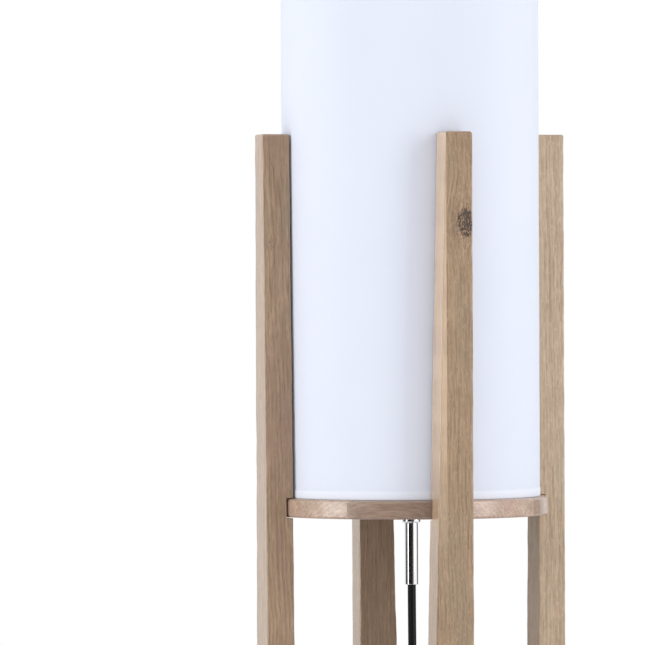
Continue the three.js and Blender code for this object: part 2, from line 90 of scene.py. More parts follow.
# ---------- the frame ----------
@dataclass(frozen=True)
class Place:
    """Where a CAD node is: its lowest and highest corners."""

    low: Vector
    high: Vector

    @classmethod
    def of(cls, node: str) -> "Place":
        """The place of the node of that name."""
        return cls(*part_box(node))

    @property
    def middle(self) -> Vector:
        """The middle of the box."""
        return (self.low + self.high) / 2

    @property
    def size(self) -> Vector:
        """The box's three sides."""
        return self.high - self.low

    @property
    def radius(self) -> float:
        """Half of the box's side along X, for a round node that stands up."""
        return self.size.x / 2


def hand_over(piece: bpy.types.Object, body: str, slot: str, *nodes: str) -> bpy.types.Object:
    """Makes a finished piece ride on its body and stand for its CAD nodes.

    Args:
        piece: the finished piece, in place.
        body: the CAD body that it moves with.
        slot: the record's material slot; not used.
        nodes: the CAD nodes that it stands for.

    Returns:
        The piece.
    """
    even_normals(piece)
    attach(piece, body)
    if nodes:
        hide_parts(*nodes)
    LOG.info("%s rides on %s for %s", piece.name, body, ", ".join(nodes) or "no node")
    return piece


# ---------- node trees ----------
class Value:
    """A node's output, on which Python's operators add Math nodes."""

    def __init__(self, tree: "NodeTree", socket: bpy.types.NodeSocket) -> None:
        """Wraps one output socket of a tree."""
        self.tree = tree
        self.socket = socket

    def output(self, name: str) -> "Value":
        """Another output of the same node."""
        return Value(self.tree, self.socket.node.outputs[name])

    def math(self, operation: str, *others: Number) -> "Value":
        """A Math node on this value and others, in that order."""
        values = dict(enumerate([self, *others]))
        return self.tree.node("ShaderNodeMath", {"operation": operation}, values)

    def _after(self, operation: str, other: Number) -> "Value":
        """A Math node on another value and then this one."""
        return self.tree.node("ShaderNodeMath", {"operation": operation}, {0: other, 1: self})

    def __add__(self, other: Number) -> "Value":
        """self + other."""
        return self.math("ADD", other)

    def __radd__(self, other: Number) -> "Value":
        """other + self."""
        return self.math("ADD", other)

    def __sub__(self, other: Number) -> "Value":
        """self - other."""
        return self.math("SUBTRACT", other)

    def __rsub__(self, other: Number) -> "Value":
        """other - self."""
        return self._after("SUBTRACT", other)

    def __mul__(self, other: Number) -> "Value":
        """self * other."""
        return self.math("MULTIPLY", other)

    def __rmul__(self, other: Number) -> "Value":
        """other * self."""
        return self.math("MULTIPLY", other)

    def __truediv__(self, other: Number) -> "Value":
        """self / other."""
        return self.math("DIVIDE", other)

    def __pow__(self, other: Number) -> "Value":
        """self ** other."""
        return self.math("POWER", other)

    def between(self, low: float, high: float) -> "Value":
        """0 at low, 1 at high, smooth in between and held outside.

        Args:
            low: where the step starts.
            high: where it ends.

        Returns:
            The step.
        """
        kind = {"interpolation_type": "SMOOTHSTEP", "clamp": True}
        sockets = {"Value": self, "From Min": low, "From Max": high}
        return self.tree.node("ShaderNodeMapRange", kind, sockets)


class NodeTree:
    """A node tree whose nodes all come from one method."""

    def __init__(self, tree: bpy.types.NodeTree) -> None:
        """Wraps a Blender node tree."""
        self.tree = tree

    def node(self, kind: str, settings: dict | None = None, sockets: dict | None = None) -> Value:
        """Makes a node.

        Args:
            kind: Blender's name of the node type.
            settings: its own settings, which are set first.
            sockets: its inputs, by name or number, each a value or a link.

        Returns:
            The node's first output.
        """
        made = self.tree.nodes.new(kind)
        for name, setting in (settings or {}).items():
            setattr(made, name, setting)
        for key, value in (sockets or {}).items():
            if isinstance(value, Value):
                self.tree.links.new(value.socket, made.inputs[key])
            else:
                made.inputs[key].default_value = value
        return Value(self, made.outputs[0] if len(made.outputs) else None)

    def axes(self, vector: Value) -> tuple[Value, Value, Value]:
        """A vector's three numbers."""
        parts = self.node("ShaderNodeSeparateXYZ", sockets={"Vector": vector})
        return parts, parts.output("Y"), parts.output("Z")

    def vector(self, x: Number, y: Number, z: Number = 0.0) -> Value:
        """A vector of three numbers."""
        return self.node("ShaderNodeCombineXYZ", sockets={"X": x, "Y": y, "Z": z})


class Shading(NodeTree):
    """The node tree of a material, with the patterns that the finishes share."""

    def place(self) -> Value:
        """Object coordinates, in metres."""
        return self.node("ShaderNodeTexCoord").output("Object")

    def attribute(self, name: str) -> Value:
        """A number that the mesh holds at its points."""
        return self.node("ShaderNodeAttribute", {"attribute_name": name}).output("Fac")

    def mapped(self, vector: Value, scale: Point, move: Point = (0, 0, 0), turn: Point = (0, 0, 0)) -> Value:
        """A vector that is scaled, turned and moved."""
        sockets = {"Vector": vector, "Location": move, "Rotation": turn, "Scale": scale}
        return self.node("ShaderNodeMapping", sockets=sockets)

    def noise(self, vector: Value, detail: float = 2.0, roughness: float = 0.5) -> Value:
        """Noise of about one bump for each unit of the vector, from 0 to 1."""
        sockets = {"Vector": vector, "Scale": 1.0, "Detail": detail, "Roughness": roughness}
        return self.node("ShaderNodeTexNoise", sockets=sockets)

    def across(self, operation: str, first: Union[Value, Point], second: Union[Value, Point]) -> Value:
        """A Vector Math node on two vectors, in that order."""
        return self.node("ShaderNodeVectorMath", {"operation": operation}, {0: first, 1: second})

    def moved_by(self, vector: Value, offset: Value, amount: float) -> Value:
        """A vector pushed about by a noise's colour, which is even at a half.

        Args:
            vector: the vector.
            offset: the noise's colour.
            amount: the most that it moves.

        Returns:
            The moved vector.
        """
        centred = self.across("SUBTRACT", offset, (0.5, 0.5, 0.5))
        sockets = {0: centred, 1: (amount, amount, amount), 2: vector}
        return self.node("ShaderNodeVectorMath", {"operation": "MULTIPLY_ADD"}, sockets)

    def mix(self, share: Number, first: Union[Value, Colour], second: Union[Value, Colour]) -> Value:
        """A colour between two colours."""
        made = self.node("ShaderNodeMix", {"data_type": "RGBA"}, {0: share, 6: first, 7: second})
        return Value(self, made.socket.node.outputs[2])

    def bump(self, height: Value, depth: float, strength: float = 1.0) -> Value:
        """A normal for a height map whose range of 1 is that many metres deep."""
        sockets = {"Height": height, "Distance": depth, "Strength": strength}
        return self.node("ShaderNodeBump", sockets=sockets).output("Normal")

    def principled(self, **sockets: Union[Value, float, Colour]) -> Value:
        """The main shader, with spaces for the underscores in its sockets' names."""
        named = {name.replace("_", " "): value for name, value in sockets.items()}
        return self.node("ShaderNodeBsdfPrincipled", sockets=named)


class GeometryTree(NodeTree):
    """A Geometry Nodes tree with named sizes, which makes one plain mesh."""

    def __init__(self, name: str, sizes: dict[str, Union[int, float]]) -> None:
        """Starts a tree with one input for each size.

        Args:
            name: the tree's name.
            sizes: the inputs' values, by name; whole numbers are counts.
        """
        super().__init__(bpy.data.node_groups.new(name, "GeometryNodeTree"))
        sides = self.tree.interface
        sides.new_socket("Geometry", in_out="OUTPUT", socket_type="NodeSocketGeometry")
        self.held: dict[str, Union[int, float]] = {}
        for size, value in sizes.items():
            kind = "NodeSocketInt" if isinstance(value, int) else "NodeSocketFloat"
            socket = sides.new_socket(size, in_out="INPUT", socket_type=kind)
            self.held[socket.identifier] = value
        self.inputs = self.tree.nodes.new("NodeGroupInput")

    def size(self, name: str) -> Value:
        """The input of that name."""
        return Value(self, self.inputs.outputs[name])

    def made(self, name: str, geometry: Value, finish: "Finish") -> bpy.types.Object:
        """Runs the tree.

        Args:
            name: the new piece's name.
            geometry: the output that holds the shape.
            finish: the piece's finish.

        Returns:
            The piece, as a plain mesh with no modifier.
        """
        real = self.node("GeometryNodeRealizeInstances", sockets={"Geometry": geometry})
        sockets = {"Geometry": real, "Material": finish.material()}
        dressed = self.node("GeometryNodeSetMaterial", sockets=sockets)
        self.node("NodeGroupOutput", sockets={"Geometry": dressed})
        piece = bpy.data.objects.new(name, bpy.data.meshes.new(name))
        bpy.context.scene.collection.objects.link(piece)
        modifier = piece.modifiers.new("Shape", "NODES")
        modifier.node_group = self.tree
        for identifier, value in self.held.items():
            modifier[identifier] = value
        return bake(piece)


# ---------- mesh work ----------
def bake(piece: bpy.types.Object) -> bpy.types.Object:
    """Turns a piece with live modifiers into a plain mesh.

    Args:
        piece: the piece.

    Returns:
        The piece, with no modifier.
    """
    view = bpy.context.evaluated_depsgraph_get()
    result = piece.evaluated_get(view)
    mesh = bpy.data.meshes.new_from_object(result, preserve_all_data_layers=True, depsgraph=view)
    piece.modifiers.clear()
    piece.data = mesh
    mesh.name = piece.name
    return piece


def smooth(piece: bpy.types.Object, sharp: float = 35.0) -> bpy.types.Object:
    """Shades a piece smooth, apart from edges sharper than that many degrees.

    Args:
        piece: the piece.
        sharp: the angle from which an edge stays sharp.

    Returns:
        The piece.
    """
    piece.data.shade_smooth()
    piece.data.set_sharp_from_angle(angle=math.radians(sharp))
    return piece


def even_normals(piece: bpy.types.Object) -> bpy.types.Object:
    """Lets the large faces set the shading of the edges round them.

    Args:
        piece: the piece.

    Returns:
        The piece.
    """
    modifier = piece.modifiers.new("Normals", "WEIGHTED_NORMAL")
    modifier.keep_sharp = True
    return bake(piece)


def mesh_piece(name: str, points: Iterable[Point], faces: Iterable[Sequence[int]],
               finish: "Finish") -> bpy.types.Object:
    """A new piece from points and faces, with doubles merged and its faces pointing out.

    Args:
        name: the new piece's name.
        points: its points.
        faces: the points' numbers, face by face.
        finish: its finish.

    Returns:
        The piece.
    """
    mesh = bpy.data.meshes.new(name)
    mesh.from_pydata([tuple(p) for p in points], [], [tuple(f) for f in faces])
    shape = bmesh.new()
    shape.from_mesh(mesh)
    bmesh.ops.remove_doubles(shape, verts=shape.verts, dist=DOUBLED)
    bmesh.ops.recalc_face_normals(shape, faces=shape.faces)
    shape.to_mesh(mesh)
    shape.free()
    piece = bpy.data.objects.new(name, mesh)
    bpy.context.scene.collection.objects.link(piece)
    mesh.materials.append(finish.material())
    return smooth(piece)


def ring_faces(rings: int, sides: int, closed: bool = False) -> list[tuple[int, ...]]:
    """Faces between rings of points, with an end face on each end unless the rings close.

    Args:
        rings: how many rings.
        sides: how many points each has.
        closed: whether the last ring joins the first.

    Returns:
        The faces.
    """
    faces = []
    for ring in range(rings if closed else rings - 1):
        here = ring * sides
        there = (ring + 1) % rings * sides
        for side in range(sides):
            after = (side + 1) % sides
            faces.append((here + side, here + after, there + after, there + side))
    if not closed:
        faces.append(tuple(reversed(range(sides))))
        faces.append(tuple(range((rings - 1) * sides, rings * sides)))
    return faces


def rounded(profile: Profile, radius: float, closed: bool = True, steps: int = 3) -> Profile:
    """A profile whose corners are small arcs, apart from corners on the axis and open ends.

    Args:
        profile: the corners.
        radius: the reach of the arcs.
        closed: whether the last point joins the first.
        steps: how many parts an arc has.

    Returns:
        The rounded profile.
    """
    result: Profile = []
    count = len(profile)
    for i, (r, z) in enumerate(profile):
        ends = not closed and i in (0, count - 1)
        if ends or r < 1e-9:
            result.append((r, z))
            continue
        here = Vector((r, z))
        before = Vector(profile[i - 1]) - here
        after = Vector(profile[(i + 1) % count]) - here
        reach = min(radius, before.length * 0.45, after.length * 0.45)
        start = here + before.normalized() * reach
        end = here + after.normalized() * reach
        for step in range(steps + 1):
            t = step / steps
            point = start * (1 - t) ** 2 + here * 2 * t * (1 - t) + end * t * t
            result.append((point.x, point.y))
    return result


def lathe(name: str, profile: Profile, finish: "Finish", sides: int = 96,
          edge: float = 0.0) -> bpy.types.Object:
    """Turns a profile of radius and height round the Z axis.

    Args:
        name: the new piece's name.
        profile: the points; it runs from axis to axis, or closes on itself.
        finish: the piece's finish.
        sides: how many faces go round.
        edge: the radius of the corners.

    Returns:
        The piece.
    """
    solid = profile[0][0] < 1e-9
    points = rounded(profile, edge, closed=not solid) if edge else profile
    circle = [(math.cos(2 * math.pi * i / sides), math.sin(2 * math.pi * i / sides)) for i in range(sides)]
    corners = [(r * x, r * y, z) for r, z in points for x, y in circle]
    faces = ring_faces(len(points), sides, closed=not solid)
    if solid:
        faces = faces[:-2]
    return mesh_piece(name, corners, faces, finish)


def plate_of(outline: Outline, profile: Profile) -> tuple[list[Point], list[tuple[int, ...]]]:
    """Points and faces of a plate whose outline shrinks by an inset at each height.

    Args:
        outline: the outline for an inset.
        profile: each ring's inset and height.

    Returns:
        The points and the faces.
    """
    rings = [[(x, y, z) for x, y in outline(inset)] for inset, z in profile]
    points = [point for ring in rings for point in ring]
    return points, ring_faces(len(rings), len(rings[0]))


def rounded_box(length: float, width: float, corner: float, steps: int = 8) -> Outline:
    """An outline of a rectangle with round corners, as a function of its inset.

    Args:
        length: the side along X.
        width: the side along Y.
        corner: the corners' radius.
        steps: how many parts a corner has.

    Returns:
        The outline for an inset.
    """

    def outline(inset: float) -> Profile:
        """The rectangle's corners and arcs.

        Args:
            inset: how far they are drawn in.

        Returns:
            The outline's points.
        """
        x, y = length / 2 - inset, width / 2 - inset
        r = max(corner - inset, LEAST_CORNER)
        points = []
        for quarter, (sx, sy) in enumerate(((1, 1), (-1, 1), (-1, -1), (1, -1))):
            for step in range(steps + 1):
                angle = (quarter + step / steps) * math.pi / 2
                points.append((sx * (x - r) + r * math.cos(angle), sy * (y - r) + r * math.sin(angle)))
        return points

    return outline


def carve(piece: bpy.types.Object, cutters: Iterable[bpy.types.Object], operation: str = "DIFFERENCE",
          sharp: float = 35.0) -> bpy.types.Object:
    """Cuts other meshes out of a piece, or joins them to it, and removes them.

    Args:
        piece: the piece.
        cutters: the other meshes.
        operation: DIFFERENCE or UNION.
        sharp: the angle from which an edge stays sharp.

    Returns:
        The piece.
    """
    for cutter in cutters:
        modifier = piece.modifiers.new("Cut", "BOOLEAN")
        modifier.operation = operation
        modifier.solver = "MANIFOLD"
        modifier.object = cutter
        bake(piece)
        bpy.data.objects.remove(cutter)
    return smooth(clean(piece), sharp)


def clean(piece: bpy.types.Object, gap: float = 4e-6) -> bpy.types.Object:
    """Merges a cut mesh's doubled points and takes out its flat slivers.

    Args:
        piece: the piece.
        gap: points nearer than this, in metres, are merged.

    Returns:
        The piece.
    """
    mesh = bmesh.new()
    mesh.from_mesh(piece.data)
    bmesh.ops.triangulate(mesh, faces=[face for face in mesh.faces if len(face.verts) > 4])
    bmesh.ops.remove_doubles(mesh, verts=mesh.verts, dist=gap)
    bmesh.ops.dissolve_degenerate(mesh, dist=gap, edges=mesh.edges)
    mesh.to_mesh(piece.data)
    mesh.free()
    return piece


def shift(piece: bpy.types.Object, matrix: Matrix) -> bpy.types.Object:
    """Puts a mesh in its place, which stays in the mesh and not in the object.

    Args:
        piece: the piece.
        matrix: the move.

    Returns:
        The piece.
    """
    piece.data.transform(matrix)
    piece.data.update()
    return piece


# ---------- finishes ----------
@dataclass(frozen=True)
class Finish:
    """A finish, which makes its material once."""

    name: str

    def material(self) -> bpy.types.Material:
        """The finish's material, made the first time that it is asked for.

        Returns:
            The material.
        """
        title = f"{self.name}_finish"
        known = bpy.data.materials.get(title)
        if known:
            return known
        made = bpy.data.materials.new(title)
        made.use_nodes = True
        made.node_tree.nodes.clear()
        shading = Shading(made.node_tree)
        shading.node("ShaderNodeOutputMaterial", sockets={"Surface": self.shader(shading)})
        return made

    def shader(self, shading: Shading) -> Value:
        """The finish's surface shader."""
        raise NotImplementedError


class Grain(Enum):
    """The turn that brings the way the grain runs onto Z."""

    UPRIGHT = (0.0, 0.0, 0.0)
    # The level turn also sets where the darkest stave lies: on the rim beside the front leg, as painted
    # shadow.
    LEVEL = (math.pi / 2, math.radians(-116.7), 0.0)


@dataclass(frozen=True)
class Knot:
    """A knot in a board: its middle, and its half width and half height."""

    middle: tuple[float, float, float]
    across: float
    along: float


@dataclass(frozen=True)
class Wood(Finish):
    """Oiled open-grained wood, cut from a solid pattern, so that its end grain is true.

    Each scale is in bumps to the metre: twice across the grain, and then along it.
    """

    light: Colour = srgb(182, 154, 126)
    dark: Colour = srgb(124, 97, 72)
    grey: Colour = srgb(141, 123, 101)
    pink: Colour = srgb(166, 132, 112)
    bark: Colour = srgb(36, 26, 21)
    # The tone of the darker staves, and of the painted shade on the faces towards the lampshade.
    dark_stave_and_shade: Colour = srgb(92, 66, 48)
    grain: Grain = Grain.UPRIGHT
    pith: tuple[float, float] = (0.07, 0.05)
    ring: float = 3.4 * MM
    seed: float = 0.0
    knots: tuple[Knot, ...] = ()
    stave: float = 0.0
    # The joint at which the darkest stave starts; with the level turn it lies on the disc's rim beside the
    # front leg, as a painted shadow of that leg.
    shadow_stave_joint: float = 0.1256
    fleck: float = 0.3
    fibre: Scale = (620, 620, 38)
    streak: Scale = (150, 150, 8)
    patch: Scale = (38, 38, 6)
    pore: Scale = (1500, 1500, 90)
    ray: Scale = (560, 560, 190)
    burl: Scale = (620, 620, 380)
    wander: float = 9 * MM
    relief: float = 0.25 * MM
    oil_rough: float = 0.22
    oil_index: float = 1.6
    # Painted light: a paler colour on one side face of a leg, from this edge outward.
    lit_side_colour: Colour = srgb(236, 206, 174)
    lit_side_edge: float | None = None

    def shader(self, shading: Shading) -> Value:
        """Growth rings, fibres, pores, ray flecks and knots, with painted shade on the edges and on the faces
        towards the lampshade, a painted shadow on one stave of the rim, and painted light on one side of a
        leg.

        Args:
            shading: the material's node tree.

        Returns:
            The surface shader.
        """
        here = shading.place()
        pushed, core = self._knots(shading, here)
        offset = (self.seed, self.seed * 0.7, self.seed * 1.3)
        board = shading.mapped(pushed, (1, 1, 1), (0, 0, 0), self.grain.value)
        board, other = self._staves(shading, board)
        board = shading.across("ADD", board, offset)
        wander = shading.noise(shading.mapped(board, (11, 11, 7)), 3).output("Color")
        along = shading.moved_by(board, wander, self.wander)
        fibres = shading.noise(shading.mapped(along, self.fibre), 4, 0.66)
        streaks = shading.noise(shading.mapped(along, self.streak), 3, 0.6)
        broad = shading.noise(shading.mapped(along, self.patch, (3, 1, 2)), 3, 0.55)
        pores = shading.noise(shading.mapped(along, self.pore), 1).between(0.56, 0.72)
        flecks = shading.noise(shading.mapped(along, self.ray), 1).between(0.56, 0.66)
        rings = self._rings(shading, along, streaks)
        tone = fibres * 0.62 + streaks * 0.46 + broad * 0.3 + rings * 0.1 - 0.16
        colour = shading.mix(tone.between(0.3, 0.92), self.dark, self.light)
        colour = shading.mix(broad.between(0.5, 0.7) * 0.55, colour, self.grey)
        colour = shading.mix(broad.between(0.48, 0.32) * 0.5, colour, self.pink)
        colour = shading.mix(pores * 0.25, colour, self.bark)
        colour = shading.mix(flecks * streaks * self.fleck, colour, self.light)
        # The darker staves; the darkest, on the rim beside the front leg, is a painted shadow.
        colour = shading.mix(other, colour, self.dark_stave_and_shade)
        burl = shading.noise(shading.mapped(here, self.burl), 3, 0.7)
        middle = shading.mix(burl.between(0.5, 0.6), self.bark, self.pink)
        colour = shading.mix(core, colour, middle)
        colour = self._paint_lit_side(shading, here, colour)
        edge_wear_and_shade = shading.attribute("arris")
        inside = shading.attribute("inside")
        # Painted shade: the faces towards the lampshade are darkened.
        colour = shading.mix(inside * 0.4, colour, self.dark_stave_and_shade)
        # Painted shade: the wood is darkened along its rounded edges.
        colour = shading.mix(edge_wear_and_shade * streaks.between(0.3, 0.7) * 0.45, colour, self.dark)
        height = fibres * 0.5 + rings * 0.25 - pores * 0.8 - core * burl * 0.8
        rough = fibres * 0.2 + pores * 0.15 - edge_wear_and_shade * 0.08 + 0.4
        normal = shading.bump(height, self.relief, 0.8)
        # The oil coat is thinned on the faces towards the lampshade, with their painted shade, and in the
        # knots.
        oiled = (1 - inside * 0.8) * (1 - core * 0.8)
        return shading.principled(Base_Color=colour, Roughness=rough, Normal=normal,
                                  Coat_Weight=oiled, Coat_Roughness=self.oil_rough, Coat_IOR=self.oil_index)

    def _paint_lit_side(self, shading: Shading, here: Value, colour: Value) -> Value:
        """Painted light: one side face of a leg made paler, fading out towards the foot.

        Args:
            shading: the material's node tree.
            here: the place.
            colour: the colour so far.

        Returns:
            The colour with the painted light.
        """
        if self.lit_side_edge is None:
            return colour
        x, _, z = shading.axes(here)
        share = x.between(self.lit_side_edge + 0.8 * MM, self.lit_side_edge) * z.between(0.3, 0.55)
        return shading.mix(share * 0.6, colour, self.lit_side_colour)

    def _staves(self, shading: Shading, board: Value) -> tuple[Value, Number]:
        """Glued staves, each from another part of the tree, and how dark each stave is: the darkest lies on
        the rim beside the front leg as a painted shadow, and another is darker as the wood's own tone.

        Args:
            shading: the material's node tree.
            board: the place along the grain.

        Returns:
            The place in each stave's own tree, and the stave's darkness, which is partly painted shadow.
        """
        if not self.stave:
            return board, 0.0
        x, y, z = shading.axes(board)
        number = ((x - self.shadow_stave_joint) / self.stave).math("FLOOR")
        other = (0.35 - (number * 0.618).math("FRACT")).math("MAXIMUM", 0.0) * 1.35
        return shading.vector(x + number * 0.37, y, z + number * 0.73), other

    def _rings(self, shading: Shading, board: Value, streaks: Value) -> Value:
        """Growth rings round a pith outside the board, which lean a little along it.

        Args:
            shading: the material's node tree.
            board: the place along the grain.
            streaks: noise that makes the rings uneven.

        Returns:
            0 in early wood and 1 in late wood.
        """
        x, y, z = shading.axes(board)
        away = ((x - self.pith[0]) ** 2 + (y - self.pith[1]) ** 2) ** 0.5
        year = ((away + z * 0.012) / self.ring + streaks * 1.6).math("FRACT")
        return year.between(0.0, 0.75) - year.between(0.9, 1.0)

    def _knots(self, shading: Shading, here: Value) -> tuple[Value, Number]:
        """The place with the grain pushed round the knots, and the strength of the knots' cores.

        Args:
            shading: the material's node tree.
            here: the place.

        Returns:
            The pushed place, and 0 away from the cores to 1 in them.
        """
        core: Number = 0.0
        pushed = here
        ragged = shading.noise(shading.mapped(here, (420, 420, 240)), 3)
        for knot in self.knots:
            squash = (1 / knot.across, 1 / knot.across, 1 / knot.along)
            centre = tuple(-m * s for m, s in zip(knot.middle, squash))
            reach = shading.mapped(here, squash, centre)
            length = shading.node("ShaderNodeVectorMath", {"operation": "LENGTH"}, {0: reach})
            distance = length.output("Value")
            away = distance + ragged * 1.1 - 0.55
            near = distance.between(3.4, 0.7)
            push = (knot.across * 0.7, knot.across * 0.7, knot.along * 0.25)
            scale = {0: shading.across("MULTIPLY", reach, push), "Scale": near}
            scaled = shading.node("ShaderNodeVectorMath", {"operation": "SCALE"}, scale)
            pushed = shading.across("SUBTRACT", pushed, scaled)
            bands = (distance * 9.0 + ragged * 14.0).math("SINE").between(0.1, 0.9)
            bands = bands * distance.between(2.6, 1.1) * 0.3
            dark = (away.between(1.15, 0.7) * 0.96).math("MAXIMUM", bands)
            core = dark.math("MAXIMUM", core)
        return pushed, core


@dataclass(frozen=True)
class Chrome(Finish):
    """Polished plate with the faintest haze."""

    colour: Colour = srgb(236, 238, 241)

    def shader(self, shading: Shading) -> Value:
        """A mirror with a slight orange peel.

        Args:
            shading: the material's node tree.

        Returns:
            The surface shader.
        """
        here = shading.place()
        haze = shading.noise(shading.mapped(here, (300, 300, 90)), 3)
        normal = shading.bump(haze, 0.01 * MM, 0.5)
        return shading.principled(
            Base_Color=self.colour, Metallic=1.0, Roughness=haze * 0.05 + 0.03, Normal=normal)


@dataclass(frozen=True)
class Metal(Finish):
    """Turned or drawn metal, with fine lines round its axis."""

    colour: Colour = srgb(186, 188, 190)
    stain: Colour = srgb(150, 150, 148)
    rough: float = 0.34

    def shader(self, shading: Shading) -> Value:
        """Fine lines across Z, and patches of dulled plate.

        Args:
            shading: the material's node tree.

        Returns:
            The surface shader.
        """
        here = shading.place()
        lines = shading.noise(shading.mapped(here, (60, 60, 4200)), 2)
        patches = shading.noise(shading.mapped(here, (130, 130, 130)), 3)
        colour = shading.mix(patches.between(0.45, 0.7) * 0.6, self.colour, self.stain)
        normal = shading.bump(lines, 0.03 * MM, 0.6)
        return shading.principled(
            Base_Color=colour, Metallic=1.0, Roughness=lines * 0.12 + patches * 0.1 + self.rough - 0.1,
            Normal=normal)


@dataclass(frozen=True)
class Plastic(Finish):
    """Moulded plastic, glazed or satin, with the fine pebble of its mould."""

    colour: Colour = srgb(22, 22, 23)
    dust: Colour = srgb(48, 47, 46)
    rough: float = 0.42
    pebble: float = 1500.0
    depth: float = 0.03 * MM

    def shader(self, shading: Shading) -> Value:
        """A pebbled surface with a little dust and handling.

        Args:
            shading: the material's node tree.

        Returns:
            The surface shader.
        """
        here = shading.place()
        grainy = shading.noise(shading.mapped(here, (self.pebble,) * 3), 2)
        rubbed = shading.noise(shading.mapped(here, (70, 70, 70)), 4)
        colour = shading.mix(rubbed.between(0.45, 0.75) * 0.35, self.colour, self.dust)
        rough = rubbed * 0.14 + grainy * 0.06 + self.rough - 0.1
        return shading.principled(
            Base_Color=colour, Roughness=rough, Normal=shading.bump(grainy, self.depth, 0.6))


@dataclass(frozen=True)
class Jacket(Finish):
    """A cord's soft plastic jacket, drawn along its length."""

    colour: Colour = srgb(5, 5, 6)
    rubbed: Colour = srgb(16, 16, 18)

    def shader(self, shading: Shading) -> Value:
        """Drawing lines along the cord, and the print of its strands, on the cord's own UV map.

        Args:
            shading: the material's node tree.

        Returns:
            The surface shader.
        """
        along = shading.node("ShaderNodeUVMap", {"uv_map": "UVMap"})
        lines = shading.noise(shading.mapped(along, (9, 14, 1)), 3)
        strands = shading.noise(shading.mapped(along, (2, 90, 1)), 2)
        colour = shading.mix(lines.between(0.5, 0.75) * 0.4, self.colour, self.rubbed)
        height = lines * 0.4 + strands * 0.6
        return shading.principled(
            Base_Color=colour, Roughness=lines * 0.16 + 0.42, Normal=shading.bump(height, 0.12 * MM, 0.5),
            Specular_IOR_Level=0.25)


@dataclass(frozen=True)
class Felt(Finish):
    """Pressed wool felt."""

    dark: Colour = srgb(96, 92, 86)
    light: Colour = srgb(168, 163, 155)

    def shader(self, shading: Shading) -> Value:
        """Short matted fibres.

        Args:
            shading: the material's node tree.

        Returns:
            The surface shader.
        """
        here = shading.place()
        fibres = shading.noise(shading.mapped(here, (2600, 2600, 900)), 4, 0.7)
        flecks = shading.noise(shading.mapped(here, (700, 700, 700)), 2)
        colour = shading.mix(fibres * 0.6 + flecks * 0.4, self.dark, self.light)
        normal = shading.bump(fibres, 0.4 * MM, 0.9)
        return shading.principled(Base_Color=colour, Roughness=0.95, Sheen_Weight=0.4, Normal=normal)


@dataclass(frozen=True)
class Cloth(Finish):
    """Fine white lampshade cloth on a stiff liner, woven round the drum."""

    radius: float = 0.125
    thread: float = 0.55 * MM
    hem: float = 8 * MM
    ends: tuple[float, float] = (0.4193, 1.18)
    white: Colour = srgb(224, 229, 243)
    shaded: Colour = srgb(214, 220, 238)
    doubled: Colour = srgb(233, 238, 250)

    def shader(self, shading: Shading) -> Value:
        """A plain weave with slubs, and the crisper double layer of the hems.

        Args:
            shading: the material's node tree.

        Returns:
            The surface shader.
        """
        here = shading.place()
        x, y, up = shading.axes(here)
        around = y.math("ARCTAN2", x) * self.radius
        turn = 2 * math.pi / self.thread
        weave = (around * turn).math("SINE") * (up * turn).math("SINE")
        laid = shading.vector(around, up)
        weft = shading.noise(shading.mapped(laid, (55, 1500, 1)), 3, 0.6)
        warp = shading.noise(shading.mapped(laid, (1500, 40, 1)), 3, 0.6)
        clouds = shading.noise(shading.mapped(laid, (9, 6, 1)), 3)
        slubs = weft.between(0.6, 0.78) * 0.5 + warp.between(0.6, 0.78) * 0.5
        colour = shading.mix(slubs * 0.4 + clouds.between(0.4, 0.7) * 0.2, self.white, self.shaded)
        low = (up - self.ends[0]).between(self.hem, self.hem * 0.9)
        high = (up - self.ends[1]).between(-self.hem, -self.hem * 0.9)
        colour = shading.mix(low + high, colour, self.doubled)
        height = weave * 0.25 + weft * 0.4 + warp * 0.4
        normal = shading.bump(height, 0.05 * MM, 0.45)
        return shading.principled(Base_Color=colour, Roughness=0.86, Sheen_Weight=0.1, Normal=normal)


class Finishes:
    """The lamp's finishes."""

    OAK = Wood("oak")
    BEECH = Wood("beech", light=srgb(214, 186, 146), dark=srgb(178, 146, 108), grey=srgb(190, 160, 122))
    CHROME = Chrome("chrome")
    ZINC = Metal("zinc_plate")
    BRASS = Metal("brass", colour=srgb(196, 160, 92), stain=srgb(150, 116, 60), rough=0.3)
    BLACK = Plastic("black_plastic")
    WHITE = Plastic("white_plastic", colour=srgb(236, 236, 230), dust=srgb(214, 212, 204))
    CERAMIC = Plastic("ceramic", colour=srgb(228, 224, 212), dust=srgb(208, 202, 188), rough=0.24,
                      pebble=500.0)
    OPAL = Plastic("opal", colour=srgb(246, 244, 238), dust=srgb(236, 233, 224), rough=0.3, pebble=900.0,
                   depth=0.01 * MM)
    LINER = Plastic("shade_liner", colour=srgb(240, 240, 236), dust=srgb(230, 229, 222), rough=0.5)
    BROWN = Plastic("brown_wire", colour=srgb(104, 62, 38), dust=srgb(122, 82, 58))
    BLUE = Plastic("blue_wire", colour=srgb(44, 92, 164), dust=srgb(72, 112, 172))
    JACKET = Jacket("cord_jacket")
    FELT = Felt("felt")
    CLOTH = Cloth("shade_cloth")


# ---------- the legs ----------
class Side(Enum):
    """A leg's place: its quarter turn about Z, and the way its foot splays."""

    RIGHT = ("right", 0, 1)
    BACK = ("back", 1, -1)
    LEFT = ("left", 2, 1)
    FRONT = ("front", 3, -1)

    def __init__(self, word: str, turns: int, splay: int) -> None:
        """Keeps the three parts by name.

        Args:
            word: the place's name.
            turns: quarter turns about Z.
            splay: the way the foot splays, 1 or -1.
        """
        self.word = word
        self.turns = turns
        self.splay = splay

    @property
    def turned(self) -> Matrix:
        """The turn that puts a leg made on +X in its place."""
        return Matrix.Rotation(self.turns * math.pi / 2, 4, "Z")


